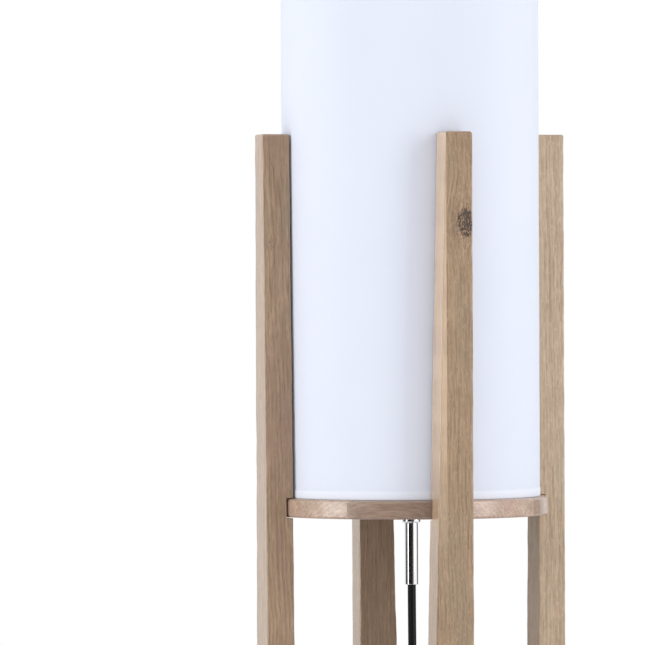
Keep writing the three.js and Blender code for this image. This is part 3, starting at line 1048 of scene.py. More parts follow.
@dataclass
class Leg:
    """One leg, made on +X and turned to its side: a splayed post with a notch for the disc."""

    side: Side
    oak: Wood
    splay: float = 17 * MM
    arris: float = 1.3 * MM
    crown: float = 2.4 * MM
    notch_play: float = 0.4 * MM
    dowel_play: float = 0.3 * MM
    notch_arris: float = 0.2 * MM
    notch_lip: float = 0.4 * MM
    rise: float = 4 * MM
    corner_steps: int = 4
    crown_steps: int = 5
    node: Place = field(init=False)
    disc: Place = field(init=False)

    def __post_init__(self) -> None:
        """Measures the leg and what it holds on the frame."""
        self.node, self.disc = Place.of("leg_right"), Place.of("disc")

    @property
    def inner(self) -> float:
        """Where the face towards the shade is."""
        return self.node.low.x

    @property
    def outer(self) -> float:
        """Where the face away from the shade is."""
        return self.node.high.x

    @property
    def half(self) -> float:
        """Half of the leg's width at its top."""
        return (self.node.size.y - self.splay) / 2

    @property
    def foot(self) -> float:
        """The height of the leg's lower end."""
        return self.node.low.z

    @property
    def top(self) -> float:
        """The height of the leg's upper end."""
        return self.node.high.z

    @property
    def notch(self) -> tuple[float, float]:
        """The notch's lowest and highest heights."""
        return self.disc.low.z - self.notch_play, self.disc.high.z + self.notch_play

    def build(self) -> bpy.types.Object:
        """Makes the post, with its notch and the hole for its dowel.

        Returns:
            The leg.
        """
        name = f"oak_leg_{self.side.word}"
        levels = self._levels()
        rings = [self._section(*level) for level in levels]
        points = [point for ring in rings for point in ring]
        post = mesh_piece(name, points, ring_faces(len(rings), len(rings[0])), self.oak)
        carve(post, [self._dowel_hole()], sharp=50)
        self._mark_arris(post)
        shift(post, self.side.turned)
        return hand_over(post, "stand", "oak", f"leg_{self.side.word}")

    def _levels(self) -> list[tuple[float, float, bool]]:
        """Heights from foot to top, each with its inset from the ends and whether it is in the notch.

        Returns:
            The levels, from the foot up.
        """
        steps = self.crown_steps
        ends = [(self.crown * (1 - math.sin(i / steps * math.pi / 2)), i / steps) for i in range(steps)]
        levels = [(self.foot + self.crown * (1 - math.cos(t * math.pi / 2)), inset, False)
                  for inset, t in ends]
        count = round((self.top - self.foot - 2 * self.crown) / self.rise)
        for i in range(count + 1):
            z = self.foot + self.crown + (self.top - self.foot - 2 * self.crown) * i / count
            if z < self.notch[0] - MM or z > self.notch[1] + MM:
                levels.append((z, 0.0, False))
            elif self.notch[0] + MM < z < self.notch[1] - MM:
                levels.append((z, 0.0, True))
        for z, lip in ((self.notch[0], -self.notch_lip), (self.notch[1], self.notch_lip)):
            levels += [(z + lip, 0.0, False), (z, 0.0, True)]
        middle = sum(self.notch) / 2
        levels += [(self.top - self.crown * (1 - math.cos(t * math.pi / 2)), inset, False)
                   for inset, t in reversed(ends)]
        below = [level for level in levels if level[0] < middle]
        above = [level for level in levels if level[0] >= middle]
        below.sort(key=lambda level: (level[0], level[2]))
        above.sort(key=lambda level: (level[0], not level[2]))
        return below + above

    def _section(self, z: float, inset: float, notched: bool) -> list[tuple[float, float, float]]:
        """The leg's outline at a height, with arrises that a hand plane has eased unevenly.

        Args:
            z: the height.
            inset: how far the end's crown draws it in.
            notched: whether it is cut back for the disc.

        Returns:
            The outline's points.
        """
        share = (self.top - z) / (self.top - self.foot)
        low, high = -self.half, self.half + self.splay * share
        if self.side.splay < 0:
            low, high = -high, -low
        inner = self.disc.radius + self.notch_play if notched else self.inner + inset * 0.6
        box = ((self.outer - inset * 0.6, high - inset), (inner, high - inset),
               (inner, low + inset), (self.outer - inset * 0.6, low + inset))
        points = []
        for corner, (x, y) in enumerate(box):
            at = Vector((corner * 7.3 + self.side.turns * 3.1, z * 34, self.oak.seed))
            cut = noise.noise(at) * 0.7 + noise.noise(at * 2.7) * 0.4
            radius = self.arris * max(1 + 1.6 * cut, 0.45)
            if notched and x == inner:
                radius = self.notch_arris
            cx = x - math.copysign(radius, x - (self.inner + self.outer) / 2)
            cy = y - math.copysign(radius, y - (low + high) / 2)
            for step in range(self.corner_steps + 1):
                angle = (corner + step / self.corner_steps) * math.pi / 2
                points.append((cx + radius * math.cos(angle), cy + radius * math.sin(angle), z))
        return points

    def _dowel_hole(self) -> bpy.types.Object:
        """The cutter of the hole that the dowel goes into.

        Returns:
            The cutter.
        """
        dowel = Place.of("dowel_right")
        radius = dowel.size.z / 2 + self.dowel_play
        profile = [(0.0, self.disc.radius - MM), (radius, self.disc.radius - MM),
                   (radius, dowel.high.x + self.dowel_play), (0.0, dowel.high.x + self.dowel_play)]
        cutter = lathe("cutter", profile, self.oak, 32)
        middle = Matrix.Translation((0, 0, dowel.middle.z))
        return shift(cutter, middle @ Matrix.Rotation(math.pi / 2, 4, "Y"))

    def _mark_arris(self, post: bpy.types.Object) -> None:
        """Writes how near each point is to an edge, and which points face the lampshade: both mark where
        shade is painted on the wood.

        Args:
            post: the leg.
        """
        layer = post.data.attributes.new("arris", "FLOAT", "POINT")
        # Faces towards the lampshade are marked for painted shade.
        inward = post.data.attributes.new("inside", "FLOAT", "POINT")
        for i, vertex in enumerate(post.data.vertices):
            x, y, z = vertex.co
            share = (self.top - z) / (self.top - self.foot)
            high = self.half + self.splay * share
            inward.data[i].value = 1.0 if x < self.inner + 0.05 * MM else 0.0
            side = y * self.side.splay
            to_side = min(high - side, side + self.half)
            to_face = min(self.outer - x, x - self.inner)
            to_end = min(self.top - z, z - self.foot)
            near = sorted((to_side, to_face, to_end))[:2]
            layer.data[i].value = 1 - ease(math.hypot(*near) / (1.6 * self.arris))


@dataclass
class Foot:
    """The felt pad under a leg."""

    side: Side
    edge: float = 0.7 * MM

    def build(self) -> bpy.types.Object:
        """Makes the pad where the CAD pad is.

        Returns:
            The pad.
        """
        node = f"foot_pad_{self.side.word}"
        place = Place.of(node)
        radius, thick = place.radius, place.size.z
        profile = [(0.0, 0.0), (radius, 0.0), (radius, thick), (0.0, thick)]
        pad = lathe(f"felt_pad_{self.side.word}", profile, Finishes.FELT, 48, self.edge)
        shift(pad, Matrix.Translation((place.middle.x, place.middle.y, place.low.z)))
        return hand_over(pad, "stand", "felt", node)


@dataclass
class Disc:
    """The oak disc that the legs hold and the shade stands on."""

    oak: Wood
    edge: float = 2.6 * MM
    hole_play: float = 0.3 * MM
    sides: int = 192

    def build(self) -> bpy.types.Object:
        """Turns the disc and bores it for the pipe and the dowels.

        Returns:
            The disc.
        """
        place = Place.of("disc")
        bore = Place.of("threaded_pipe").radius + self.hole_play
        radius = place.radius
        low, high, inset = place.low.z, place.high.z, radius - self.edge
        turns = [i / 6 * math.pi / 2 for i in range(7)]
        foot = [(inset + self.edge * math.sin(a), low + self.edge * (1 - math.cos(a))) for a in turns]
        head = [(inset + self.edge * math.cos(a), high - self.edge * (1 - math.sin(a))) for a in turns]
        profile = [(bore, low), *foot, *head, (bore, high)]
        disc = lathe("oak_disc", profile, self.oak, self.sides)
        carve(disc, [self._dowel_hole(side, place) for side in Side])
        # How near each point is to an edge, where the wood is darkened as painted shade.
        layer = disc.data.attributes.new("arris", "FLOAT", "POINT")
        for i, vertex in enumerate(disc.data.vertices):
            x, y, z = vertex.co
            down = min(z - place.low.z, place.high.z - z)
            across = radius - math.hypot(x, y)
            layer.data[i].value = 1 - ease(math.hypot(down, across) / self.edge)
        return hand_over(disc, "stand", "oak", "disc")

    def _dowel_hole(self, side: Side, place: Place) -> bpy.types.Object:
        """The cutter of one dowel's hole.

        Args:
            side: the leg's side.
            place: the disc's place.

        Returns:
            The cutter.
        """
        dowel = Place.of("dowel_right")
        radius = dowel.size.z / 2 + self.hole_play
        start, end = dowel.low.x - self.hole_play, place.radius + MM
        cutter = lathe("cutter", [(0.0, start), (radius, start), (radius, end), (0.0, end)], self.oak, 32)
        middle = Matrix.Translation((0, 0, place.middle.z))
        return shift(cutter, side.turned @ middle @ Matrix.Rotation(math.pi / 2, 4, "Y"))


# ---------- the shade ----------
@dataclass
class Drum:
    """A wall that follows a rule: a radius and a height for every place round it and up it."""

    name: str
    sides: int
    rows: int
    sizes: dict[str, float] = field(default_factory=dict)

    def build(self, rule: Callable[[GeometryTree, Value, Value], tuple[Value, Value]],
              finish: Finish) -> bpy.types.Object:
        """Makes the wall.

        Args:
            rule: gives the radius and the height from the turn, in radians, and the share of the way up.
            finish: the wall's finish.

        Returns:
            The wall, with no thickness.
        """
        tree = GeometryTree(self.name, {"Sides": self.sides, "Rows": self.rows, **self.sizes})
        counts = {"Size X": 1.0, "Size Y": 1.0,
                  "Vertices X": tree.size("Sides") + 1, "Vertices Y": tree.size("Rows")}
        grid = tree.node("GeometryNodeMeshGrid", sockets=counts)
        across, along, _ = tree.axes(tree.node("GeometryNodeInputPosition"))
        turn = (across + 0.5) * (2 * math.pi)
        radius, height = rule(tree, turn, along + 0.5)
        spot = tree.vector(turn.math("COSINE") * radius, turn.math("SINE") * radius, height)
        wall = tree.node("GeometryNodeSetPosition", sockets={"Geometry": grid, "Position": spot})
        welded = tree.node("GeometryNodeMergeByDistance", sockets={"Geometry": wall, "Distance": 1e-6})
        return smooth(tree.made(self.name, welded, finish))


def held(value: Value, low: float, high: float, top: Number) -> Value:
    """0 up to low, then even steps to top at high."""
    sockets = {"Value": value, "From Min": low, "From Max": high, "To Max": top}
    return value.tree.node("ShaderNodeMapRange", {"clamp": True}, sockets)


@dataclass
class Shade:
    """The cloth drum with its turned hems and back seam, its liner and its two wire rings."""

    cloth_wall: float = 0.55 * MM
    hem: float = 8 * MM
    hem_proud: float = 0.4 * MM
    hem_close: float = 12 * MM
    hem_step: float = 0.3 * MM
    roll: float = 0.7 * MM
    roll_in: float = 0.35 * MM
    seam_turn: float = 1.15
    seam_width: float = 11 * MM
    seam_step: float = 0.9 * MM
    sides: int = 240
    rows: int = 56
    wire_sides: int = 14
    ring_sides: int = 160

    def build(self) -> None:
        """Makes the cloth and the rings, and dresses the liner."""
        self._cloth()
        for word in ("bottom", "top"):
            self._ring(word)
        dress("shade_liner", Finishes.LINER)

    def _cloth(self) -> None:
        """A drum of cloth that is doubled at its hems and lapped at its seam."""
        place = Place.of("shade_cloth")
        radius, height = place.radius, place.size.z
        sizes = {"Radius": radius, "Height": height, "Hem": self.hem, "Proud": self.hem_proud}
        drum = Drum("shade_cloth_drum", self.sides, self.rows, sizes)

        def rule(tree: GeometryTree, turn: Value, share: Value) -> tuple[Value, Value]:
            """Hems at both ends and one seam up the back.

            Args:
                tree: the drum's tree.
                turn: the angle.
                share: the share of the way up.

            Returns:
                The radius and the height.
            """
            near = self.hem_close
            middle = tree.size("Height") - 2 * near
            up = held(share, 0.0, 0.25, near) + held(share, 0.25, 0.75, middle) + held(share, 0.75, 1.0, near)
            down = tree.size("Height") - up
            edge = tree.size("Hem")
            fold = (edge - up).between(-self.hem_step, self.hem_step)
            fold = fold + (edge - down).between(-self.hem_step, self.hem_step)
            rolled = 1 - up.between(0.0, self.roll) + (1 - down.between(0.0, self.roll))
            lap = (turn - self.seam_turn).math("ABSOLUTE") * tree.size("Radius")
            half = self.seam_width / 2
            seam = 1 - lap.between(half - self.seam_step, half + self.seam_step)
            proud = tree.size("Proud")
            layers = fold.math("MAXIMUM", seam * 0.8)
            radius_here = tree.size("Radius") - proud + proud * layers - rolled * self.roll_in
            return radius_here, up + place.low.z

        cloth = drum.build(rule, Finishes.CLOTH)
        wall = cloth.modifiers.new("Wall", "SOLIDIFY")
        wall.thickness = self.cloth_wall
        wall.offset = -1
        smooth(bake(cloth))
        hand_over(cloth, "shade", "shade_cloth", "shade_cloth")
        around = 2 * math.pi * radius + self.seam_width

    def _ring(self, word: str) -> None:
        """A coated wire ring inside one end of the drum.

        Args:
            word: bottom or top.
        """
        node = f"shade_{word}_wire"
        place = Place.of(node)
        wire = place.size.z / 2
        middle = place.radius - wire
        steps = self.wire_sides
        section = [(middle + wire * math.cos(2 * math.pi * i / steps),
                    place.middle.z + wire * math.sin(2 * math.pi * i / steps)) for i in range(steps)]
        ring = lathe(f"ring_{word}", section, Finishes.WHITE, self.ring_sides)
        hand_over(ring, "shade", "white_plastic", node)


def dress(node: str, finish: Finish) -> None:
    """Gives a CAD node that stays its finish.

    Args:
        node: the node's name.
        finish: its finish.
    """
    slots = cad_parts[node].data.materials
    slots.clear()
    slots.append(finish.material())
    LOG.info("%s stays, in %s", node, finish.name)


# ---------- the pipe, the outlet and the lampholder ----------
@dataclass
class Outlet:
    """The chrome nut and tube under the disc, and the bush that holds the cord in the tube."""

    nut_edge: float = 1.0 * MM
    tube_edge: float = 0.35 * MM
    pipe_hole: float = 5.3 * MM
    cord_hole: float = 4.3 * MM

    def build(self) -> None:
        """Makes the three turned pieces."""
        nut = self._turned("outlet_nut", "under_nut", self.pipe_hole, Finishes.CHROME, self.nut_edge)
        tube = self._turned("chrome_tube", "outlet_tube", self.pipe_hole, Finishes.CHROME, self.tube_edge)
        bush = self._turned("rubber_bush", "cord_bush", self.cord_hole, Finishes.BLACK, self.tube_edge)
        hand_over(nut, "stand", "chrome", "under_nut")
        hand_over(tube, "stand", "chrome", "outlet_tube")
        hand_over(bush, "stand", "black_plastic", "cord_bush")

    def _turned(self, name: str, node: str, bore: float, finish: Finish, edge: float) -> bpy.types.Object:
        """A ring as tall and wide as its CAD node, with a bore and softened edges.

        Args:
            name: the piece's name.
            node: the CAD node.
            bore: the bore's radius.
            finish: its finish.
            edge: the edges' radius.

        Returns:
            The piece.
        """
        place = Place.of(node)
        low, high, radius = place.low.z, place.high.z, place.radius
        profile = [(bore, low), (radius, low), (radius, high), (bore, high)]
        return lathe(name, profile, finish, 96, edge)


@dataclass
class Ribs:
    """Upright ribs in a ring, such as a grip for the fingers."""

    name: str
    count: int
    radius: float
    thick: float
    low: float
    high: float
    rib_sides: int = 10

    def build(self, finish: Finish) -> bpy.types.Object:
        """Makes the ribs.

        Args:
            finish: their finish.

        Returns:
            The ribs, as one piece.
        """
        sizes = {"Count": self.count, "Radius": self.radius, "Thick": self.thick,
                 "Tall": self.high - self.low}
        tree = GeometryTree(self.name, sizes)
        sockets = {"Vertices": tree.size("Count"), "Radius": tree.size("Radius")}
        circle = tree.node("GeometryNodeMeshCircle", sockets=sockets)
        sockets = {"Vertices": self.rib_sides, "Radius": tree.size("Thick"), "Depth": tree.size("Tall")}
        rib = tree.node("GeometryNodeMeshCylinder", sockets=sockets)
        ring = tree.node("GeometryNodeInstanceOnPoints", sockets={"Points": circle, "Instance": rib})
        piece = smooth(tree.made(self.name, ring, finish))
        return shift(piece, Matrix.Translation((0, 0, (self.low + self.high) / 2)))


@dataclass
class Lampholder:
    """The black holder: a cap that screws to the pipe and a ribbed shell round the socket."""

    neck: float = 8.5 * MM
    neck_tall: float = 12 * MM
    pipe_hole: float = 5.3 * MM
    wall: float = 1.8 * MM
    mouth: float = 16.5 * MM
    flare: float = 4 * MM
    flare_inside: float = 5 * MM
    play: float = 0.3 * MM
    cap_edge: float = 1.2 * MM
    shell_edge: float = 0.9 * MM
    rib: float = 0.55 * MM
    rib_count: int = 40
    rib_foot: float = 2 * MM
    rib_head: float = 6 * MM

    def build(self) -> None:
        """Makes the cap, the shell and its ribs, and dresses what is inside."""
        cap, shell = Place.of("lampholder_cap"), Place.of("lampholder_shell")
        shoulder = cap.low.z + self.neck_tall
        inner = cap.radius - self.wall
        profile = [(self.pipe_hole, cap.low.z), (self.neck, cap.low.z), (self.neck, shoulder - self.wall),
                   (cap.radius, shoulder + self.flare), (cap.radius, cap.high.z), (inner, cap.high.z),
                   (inner, shoulder + self.flare_inside), (self.pipe_hole, shoulder)]
        hand_over(lathe("holder_cap", profile, Finishes.BLACK, 96, self.cap_edge), "stand", "black_plastic",
                  "lampholder_cap")
        outer = shell.radius - self.rib
        inside = cap.radius + self.play
        profile = [(inside, shell.low.z), (outer, shell.low.z), (outer, shell.high.z),
                   (self.mouth, shell.high.z), (self.mouth, shell.high.z - self.wall),
                   (inside, shell.high.z - 2 * self.wall)]
        hand_over(lathe("holder_shell", profile, Finishes.BLACK, 96, self.shell_edge), "stand",
                  "black_plastic", "lampholder_shell")
        ribs = Ribs("holder_ribs", self.rib_count, outer, self.rib, shell.low.z + self.rib_foot,
                    shell.high.z - self.rib_head)
        hand_over(ribs.build(Finishes.BLACK), "stand", "black_plastic")
        dress("contact_block", Finishes.CERAMIC)
        for node in ("terminal_screw_1", "terminal_screw_2", "socket_shell", "centre_contact"):
            dress(node, Finishes.BRASS)
        for node in ("threaded_pipe", "top_washer", "top_nut"):
            dress(node, Finishes.ZINC)
        dress("live_wire", Finishes.BROWN)
        dress("neutral_wire", Finishes.BLUE)


@dataclass
class Bulb:
    """A screw-in lamp: a rolled thread, a white body and an opal dome."""

    thread_depth: float = 0.8 * MM
    pitch: float = 3.6 * MM
    wall: float = 1.5 * MM
    cap_wall: float = 0.35 * MM
    sides: int = 96
    cap_rows: int = 72
    steps: int = 20

    def build(self) -> None:
        """Makes the thread, the body and the dome."""
        self._cap()
        self._body()
        self._dome()
        dress("bulb_contact", Finishes.BRASS)
        dress("bulb_insulator", Finishes.BLACK)
        dress("led_board", Finishes.WHITE)

    def _cap(self) -> None:
        """A helical thread rolled in thin metal."""
        place = Place.of("bulb_screw_cap")
        sizes = {"Radius": place.radius, "Depth": self.thread_depth, "Pitch": self.pitch,
                 "Height": place.size.z}
        drum = Drum("bulb_thread", self.sides, self.cap_rows, sizes)

        def rule(tree: GeometryTree, turn: Value, share: Value) -> tuple[Value, Value]:
            """One start, which fades out at both ends.

            Args:
                tree: the thread's tree.
                turn: the angle.
                share: the share of the way up.

            Returns:
                The radius and the height.
            """
            up = share * tree.size("Height")
            phase = (up / tree.size("Pitch")) * (2 * math.pi) - turn
            wave = phase.math("COSINE") * 0.5 + 0.5
            fade = share.between(0.0, 0.12) * share.between(1.0, 0.88)
            dip = tree.size("Depth") * (1 - wave * fade)
            return tree.size("Radius") - dip, up + place.low.z

        cap = drum.build(rule, Finishes.ZINC)
        wall = cap.modifiers.new("Wall", "SOLIDIFY")
        wall.thickness = self.cap_wall
        wall.offset = -1
        smooth(bake(cap))
        hand_over(cap, "bulb", "steel", "bulb_screw_cap")

    def _body(self) -> None:
        """A white flared body with a thin wall."""
        place, cap = Place.of("bulb_body"), Place.of("bulb_screw_cap")
        neck = cap.radius - self.thread_depth + MM
        steps = self.steps
        wall = [(neck + (place.radius - neck) * math.sin(i / steps * math.pi / 2) ** 1.3,
                 place.low.z + place.size.z * i / steps) for i in range(steps + 1)]
        inside = [(r - self.wall, z) for r, z in reversed(wall)]
        body = lathe("bulb_white_body", wall + inside, Finishes.WHITE, self.sides)
        hand_over(body, "bulb", "white_plastic", "bulb_body")

    def _dome(self) -> None:
        """An opal dome that is open where it meets the body."""
        place = Place.of("bulb_dome")
        steps = self.steps

        def shell(radius: float, rise: float) -> Profile:
            """Half of a slightly full dome, from its rim to the axis.

            Args:
                radius: the rim's radius.
                rise: the dome's height.

            Returns:
                The profile.
            """
            turns = [i / steps * math.pi / 2 for i in range(steps + 1)]
            return [(0.0 if turn == turns[-1] else radius * math.cos(turn) ** 0.9,
                     place.low.z + rise * math.sin(turn)) for turn in turns]

        inside = shell(place.radius - self.wall, place.size.z - self.wall)
        profile = list(reversed(inside)) + shell(place.radius, place.size.z)
        dome = lathe("bulb_opal_dome", profile, Finishes.OPAL, self.sides)
        hand_over(dome, "bulb", "opal", "bulb_dome")


# ---------- the cord and what is on it ----------
PLUG_PIECES = ("plug_grip", "plug_sleeve_taper", "plug_sleeve_ribs", "plug_pin_near", "plug_pin_far")
DROP = ((0, 0, 345.4), (0, 0, 325), (0.3, 0.3, 290), (0.8, 1, 245), (1.2, 1.8, 200), (1.2, 2.6, 155),
        (0.8, 3.3, 115), (0.3, 3.8, 82), (0, 4, 54.3), (-6.7, 4, 29.3), (-25, 4, 11), (-50, 4, 4.3),
        (-63, 3.4, 4.3), (-75, -1.1, 4.3), (-88.9, -15, 4.3), (-94, -34, 4.3), (-88.9, -53, 4.3),
        (-75, -66.9, 4.6), (-56, -72, 7.6), (-43, -72, 9), (-30.3, -72, 9.15))
LEAD = ((34.3, -72, 9.15), (47, -72, 9), (57, -72, 8.1), (75, -66.9, 4.9), (88.9, -53, 4.3),
        (94, -34, 4.3), (94, -17, 4.3), (94, -1, 4.3), (94, 14.9, 4.3))
TAIL = ((14.9, 94, 12.6), (7, 94, 12.3), (-2, 94, 11.2), (-10, 94, 10.4), (-20, 94, 10.3),
        (-30, 94, 10.3), (-39.7, 94, 10.3))


def metres(route: Iterable[Point]) -> list[Vector]:
    """A route in millimetres, in metres."""
    return [Vector(point) * MM for point in route]


def length_of(line: Sequence[Vector]) -> float:
    """How long a line is."""
    return sum((b - a).length for a, b in zip(line, line[1:]))


def smooth_line(points: Sequence[Vector], spacing: float, passes: int) -> list[Vector]:
    """One smooth line through points, with an even spacing and softened bends.

    Args:
        points: the points.
        spacing: how far apart the new points are.
        passes: how often the bends are softened.

    Returns:
        The line.
    """
    count = len(points)
    curve = []
    for i in range(count - 1):
        a, b = points[i], points[i + 1]
        before = points[i - 1] if i else a * 2 - b
        after = points[i + 2] if i + 2 < count else b * 2 - a
        into, out = (b - before) / 2, (after - a) / 2
        for step in range(16):
            t = step / 16
            curve.append(a * (2 * t**3 - 3 * t**2 + 1) + into * (t**3 - 2 * t**2 + t)
                         + b * (3 * t**2 - 2 * t**3) + out * (t**3 - t**2))
    curve.append(points[-1])
    line = evenly(curve, spacing)
    for _ in range(passes):
        inner = [(line[i - 1] + line[i] * 2 + line[i + 1]) / 4 for i in range(1, len(line) - 1)]
        line = [line[0], *inner, line[-1]]
    return evenly(line, spacing)


def evenly(curve: Sequence[Vector], spacing: float) -> list[Vector]:
    """The same line with points an even distance apart.

    Args:
        curve: the line.
        spacing: about how far apart.

    Returns:
        The line with its new points.
    """
    count = max(2, round(length_of(curve) / spacing))
    step = length_of(curve) / count
    result, walked, goal = [curve[0]], 0.0, step
    for a, b in zip(curve, curve[1:]):
        span = (b - a).length
        while walked + span >= goal - 1e-12 and len(result) < count and span > 0:
            result.append(a.lerp(b, (goal - walked) / span))
            goal += step
        walked += span
    result.append(curve[-1])
    return result


def tube(name: str, line: Sequence[Vector], radius: float, finish: Finish,
         sides: int = 18) -> bpy.types.Object:
    """A round tube along a line, whose UV map runs once round it and on in metres along it.

    Args:
        name: the piece's name.
        line: the middle of the tube.
        radius: the tube's radius.
        finish: its finish.
        sides: how many faces go round.

    Returns:
        The tube.
    """
    rings, side = [], Vector((1, 0, 0))
    for i, point in enumerate(line):
        ahead = (line[min(i + 1, len(line) - 1)] - line[max(i - 1, 0)]).normalized()
        side = (side - ahead * side.dot(ahead)).normalized()
        other = ahead.cross(side)
        for k in range(sides):
            angle = 2 * math.pi * k / sides
            rings.append(point + (side * math.cos(angle) + other * math.sin(angle)) * radius)
    mesh = bpy.data.meshes.new(name)
    mesh.from_pydata(rings, [], ring_faces(len(line), sides))
    uv = mesh.uv_layers.new(name="UVMap")
    step = length_of(line) / (len(line) - 1)
    for face in mesh.polygons:
        held_at = [mesh.loops[i].vertex_index for i in face.loop_indices]
        wraps = len(held_at) == 4 and {v % sides for v in held_at} == {0, sides - 1}
        for loop, vertex in zip(face.loop_indices, held_at):
            turn = vertex % sides
            uv.data[loop].uv = ((sides if wraps and turn == 0 else turn) / sides, vertex // sides * step)
    mesh.materials.append(finish.material())
    piece = bpy.data.objects.new(name, mesh)
    bpy.context.scene.collection.objects.link(piece)
    return smooth(piece, 60)


@dataclass
class Coil:
    """The spare cord: turns that lie beside and on each other, from the lead to the plug."""

    middle: tuple[float, float] = (44 * MM, 44 * MM)
    outer: float = 50 * MM
    pitch: float = 8 * MM
    low: float = 4.3 * MM
    layer: float = 8.3 * MM
    turns: float = 5.25
    inward: tuple[float, ...] = (295, 655)
    outward: tuple[float, ...] = (1255, 1615)
    rise: float = 955
    ramp: float = 60
    step: float = 10
    tie_at: float = math.radians(200)
    tie_wide: float = 7 * MM
    tie_thick: float = 0.22 * MM
    tie_room: float = 0.05 * MM

    def line(self) -> list[Vector]:
        """Points every few degrees: in two pitches, up a layer, and out again.

        Returns:
            The points, from the lead to the plug.
        """
        points = []
        for i in range(round(self.turns * 360 / self.step) + 1):
            angle = i * self.step
            moves = [-ease((angle - start) / self.ramp) for start in self.inward]
            moves += [ease((angle - start) / self.ramp) for start in self.outward]
            radius = self.outer + self.pitch * sum(moves)
            height = self.low + self.layer * ease((angle - self.rise) / self.ramp)
            turn = math.radians(angle)
            x, y = self.middle
            points.append(Vector((x + radius * math.cos(turn), y + radius * math.sin(turn), height)))
        return points

    def tie(self) -> bpy.types.Object:
        """A thin strap round the bundle.

        Returns:
            The strap.
        """
        wide, thick, room = self.tie_wide, self.tie_thick, self.tie_room
        inner = self.outer - 2 * self.pitch - self.pitch / 2
        outer = self.outer + self.pitch / 2
        high = self.low + self.layer + self.pitch / 2
        outline = rounded_box(outer - inner + 2 * room + 2 * thick,
                              high - self.low + self.pitch / 2 + 2 * thick, self.pitch / 2)
        middle = Vector(((inner + outer) / 2, 0, (high + self.low - self.pitch / 2) / 2))
        rings = [[(middle.x + x, y, middle.z + z) for x, z in outline(inset)]
                 for y, inset in ((-wide / 2, 0.0), (wide / 2, 0.0), (wide / 2, thick), (-wide / 2, thick))]
        points = [point for ring in rings for point in ring]
        strap = mesh_piece("cord_tie", points, ring_faces(4, len(rings[0]), closed=True), Finishes.BLACK)
        place = Matrix.Translation((*self.middle, 0)) @ Matrix.Rotation(self.tie_at, 4, "Z")
        return shift(strap, place)


@dataclass
class Cord:
    """The mains cord: a drop from the outlet to the foot switch, and a lead on to the plug."""

    diameter: float = 8 * MM
    spacing: float = 2.6 * MM
    drop_passes: int = 30
    lead_passes: int = 6
    coil: Coil = field(default_factory=Coil)

    def build(self) -> None:
        exit_place = Place.of("outlet_tube")
        drop_line = smooth_line(metres(DROP), self.spacing, self.drop_passes)
        drop = tube("cord_to_switch", drop_line, self.diameter / 2, Finishes.JACKET)
        hand_over(drop, "stand", "cord_jacket", "cord_drop")
        rest = smooth_line([*metres(LEAD), *self.coil.line(), *metres(TAIL)], self.spacing, self.lead_passes)
        lead = tube("cord_to_plug", rest, self.diameter / 2, Finishes.JACKET)
        hand_over(lead, "stand", "cord_jacket", "cord_lead", "cord_coil", "cord_tail")
        tie = hand_over(self.coil.tie(), "stand", "black_plastic")
        on_lead = [bpy.data.objects[name] for name in PLUG_PIECES] + [tie]
        round(length_of(drop_line), 3)
        leaves = Place.of("switch_cover")
        leaves.middle.y
        round(length_of(rest), 3)
        LOG.info("cord: %.3f m and %.3f m", length_of(drop_line), length_of(rest))


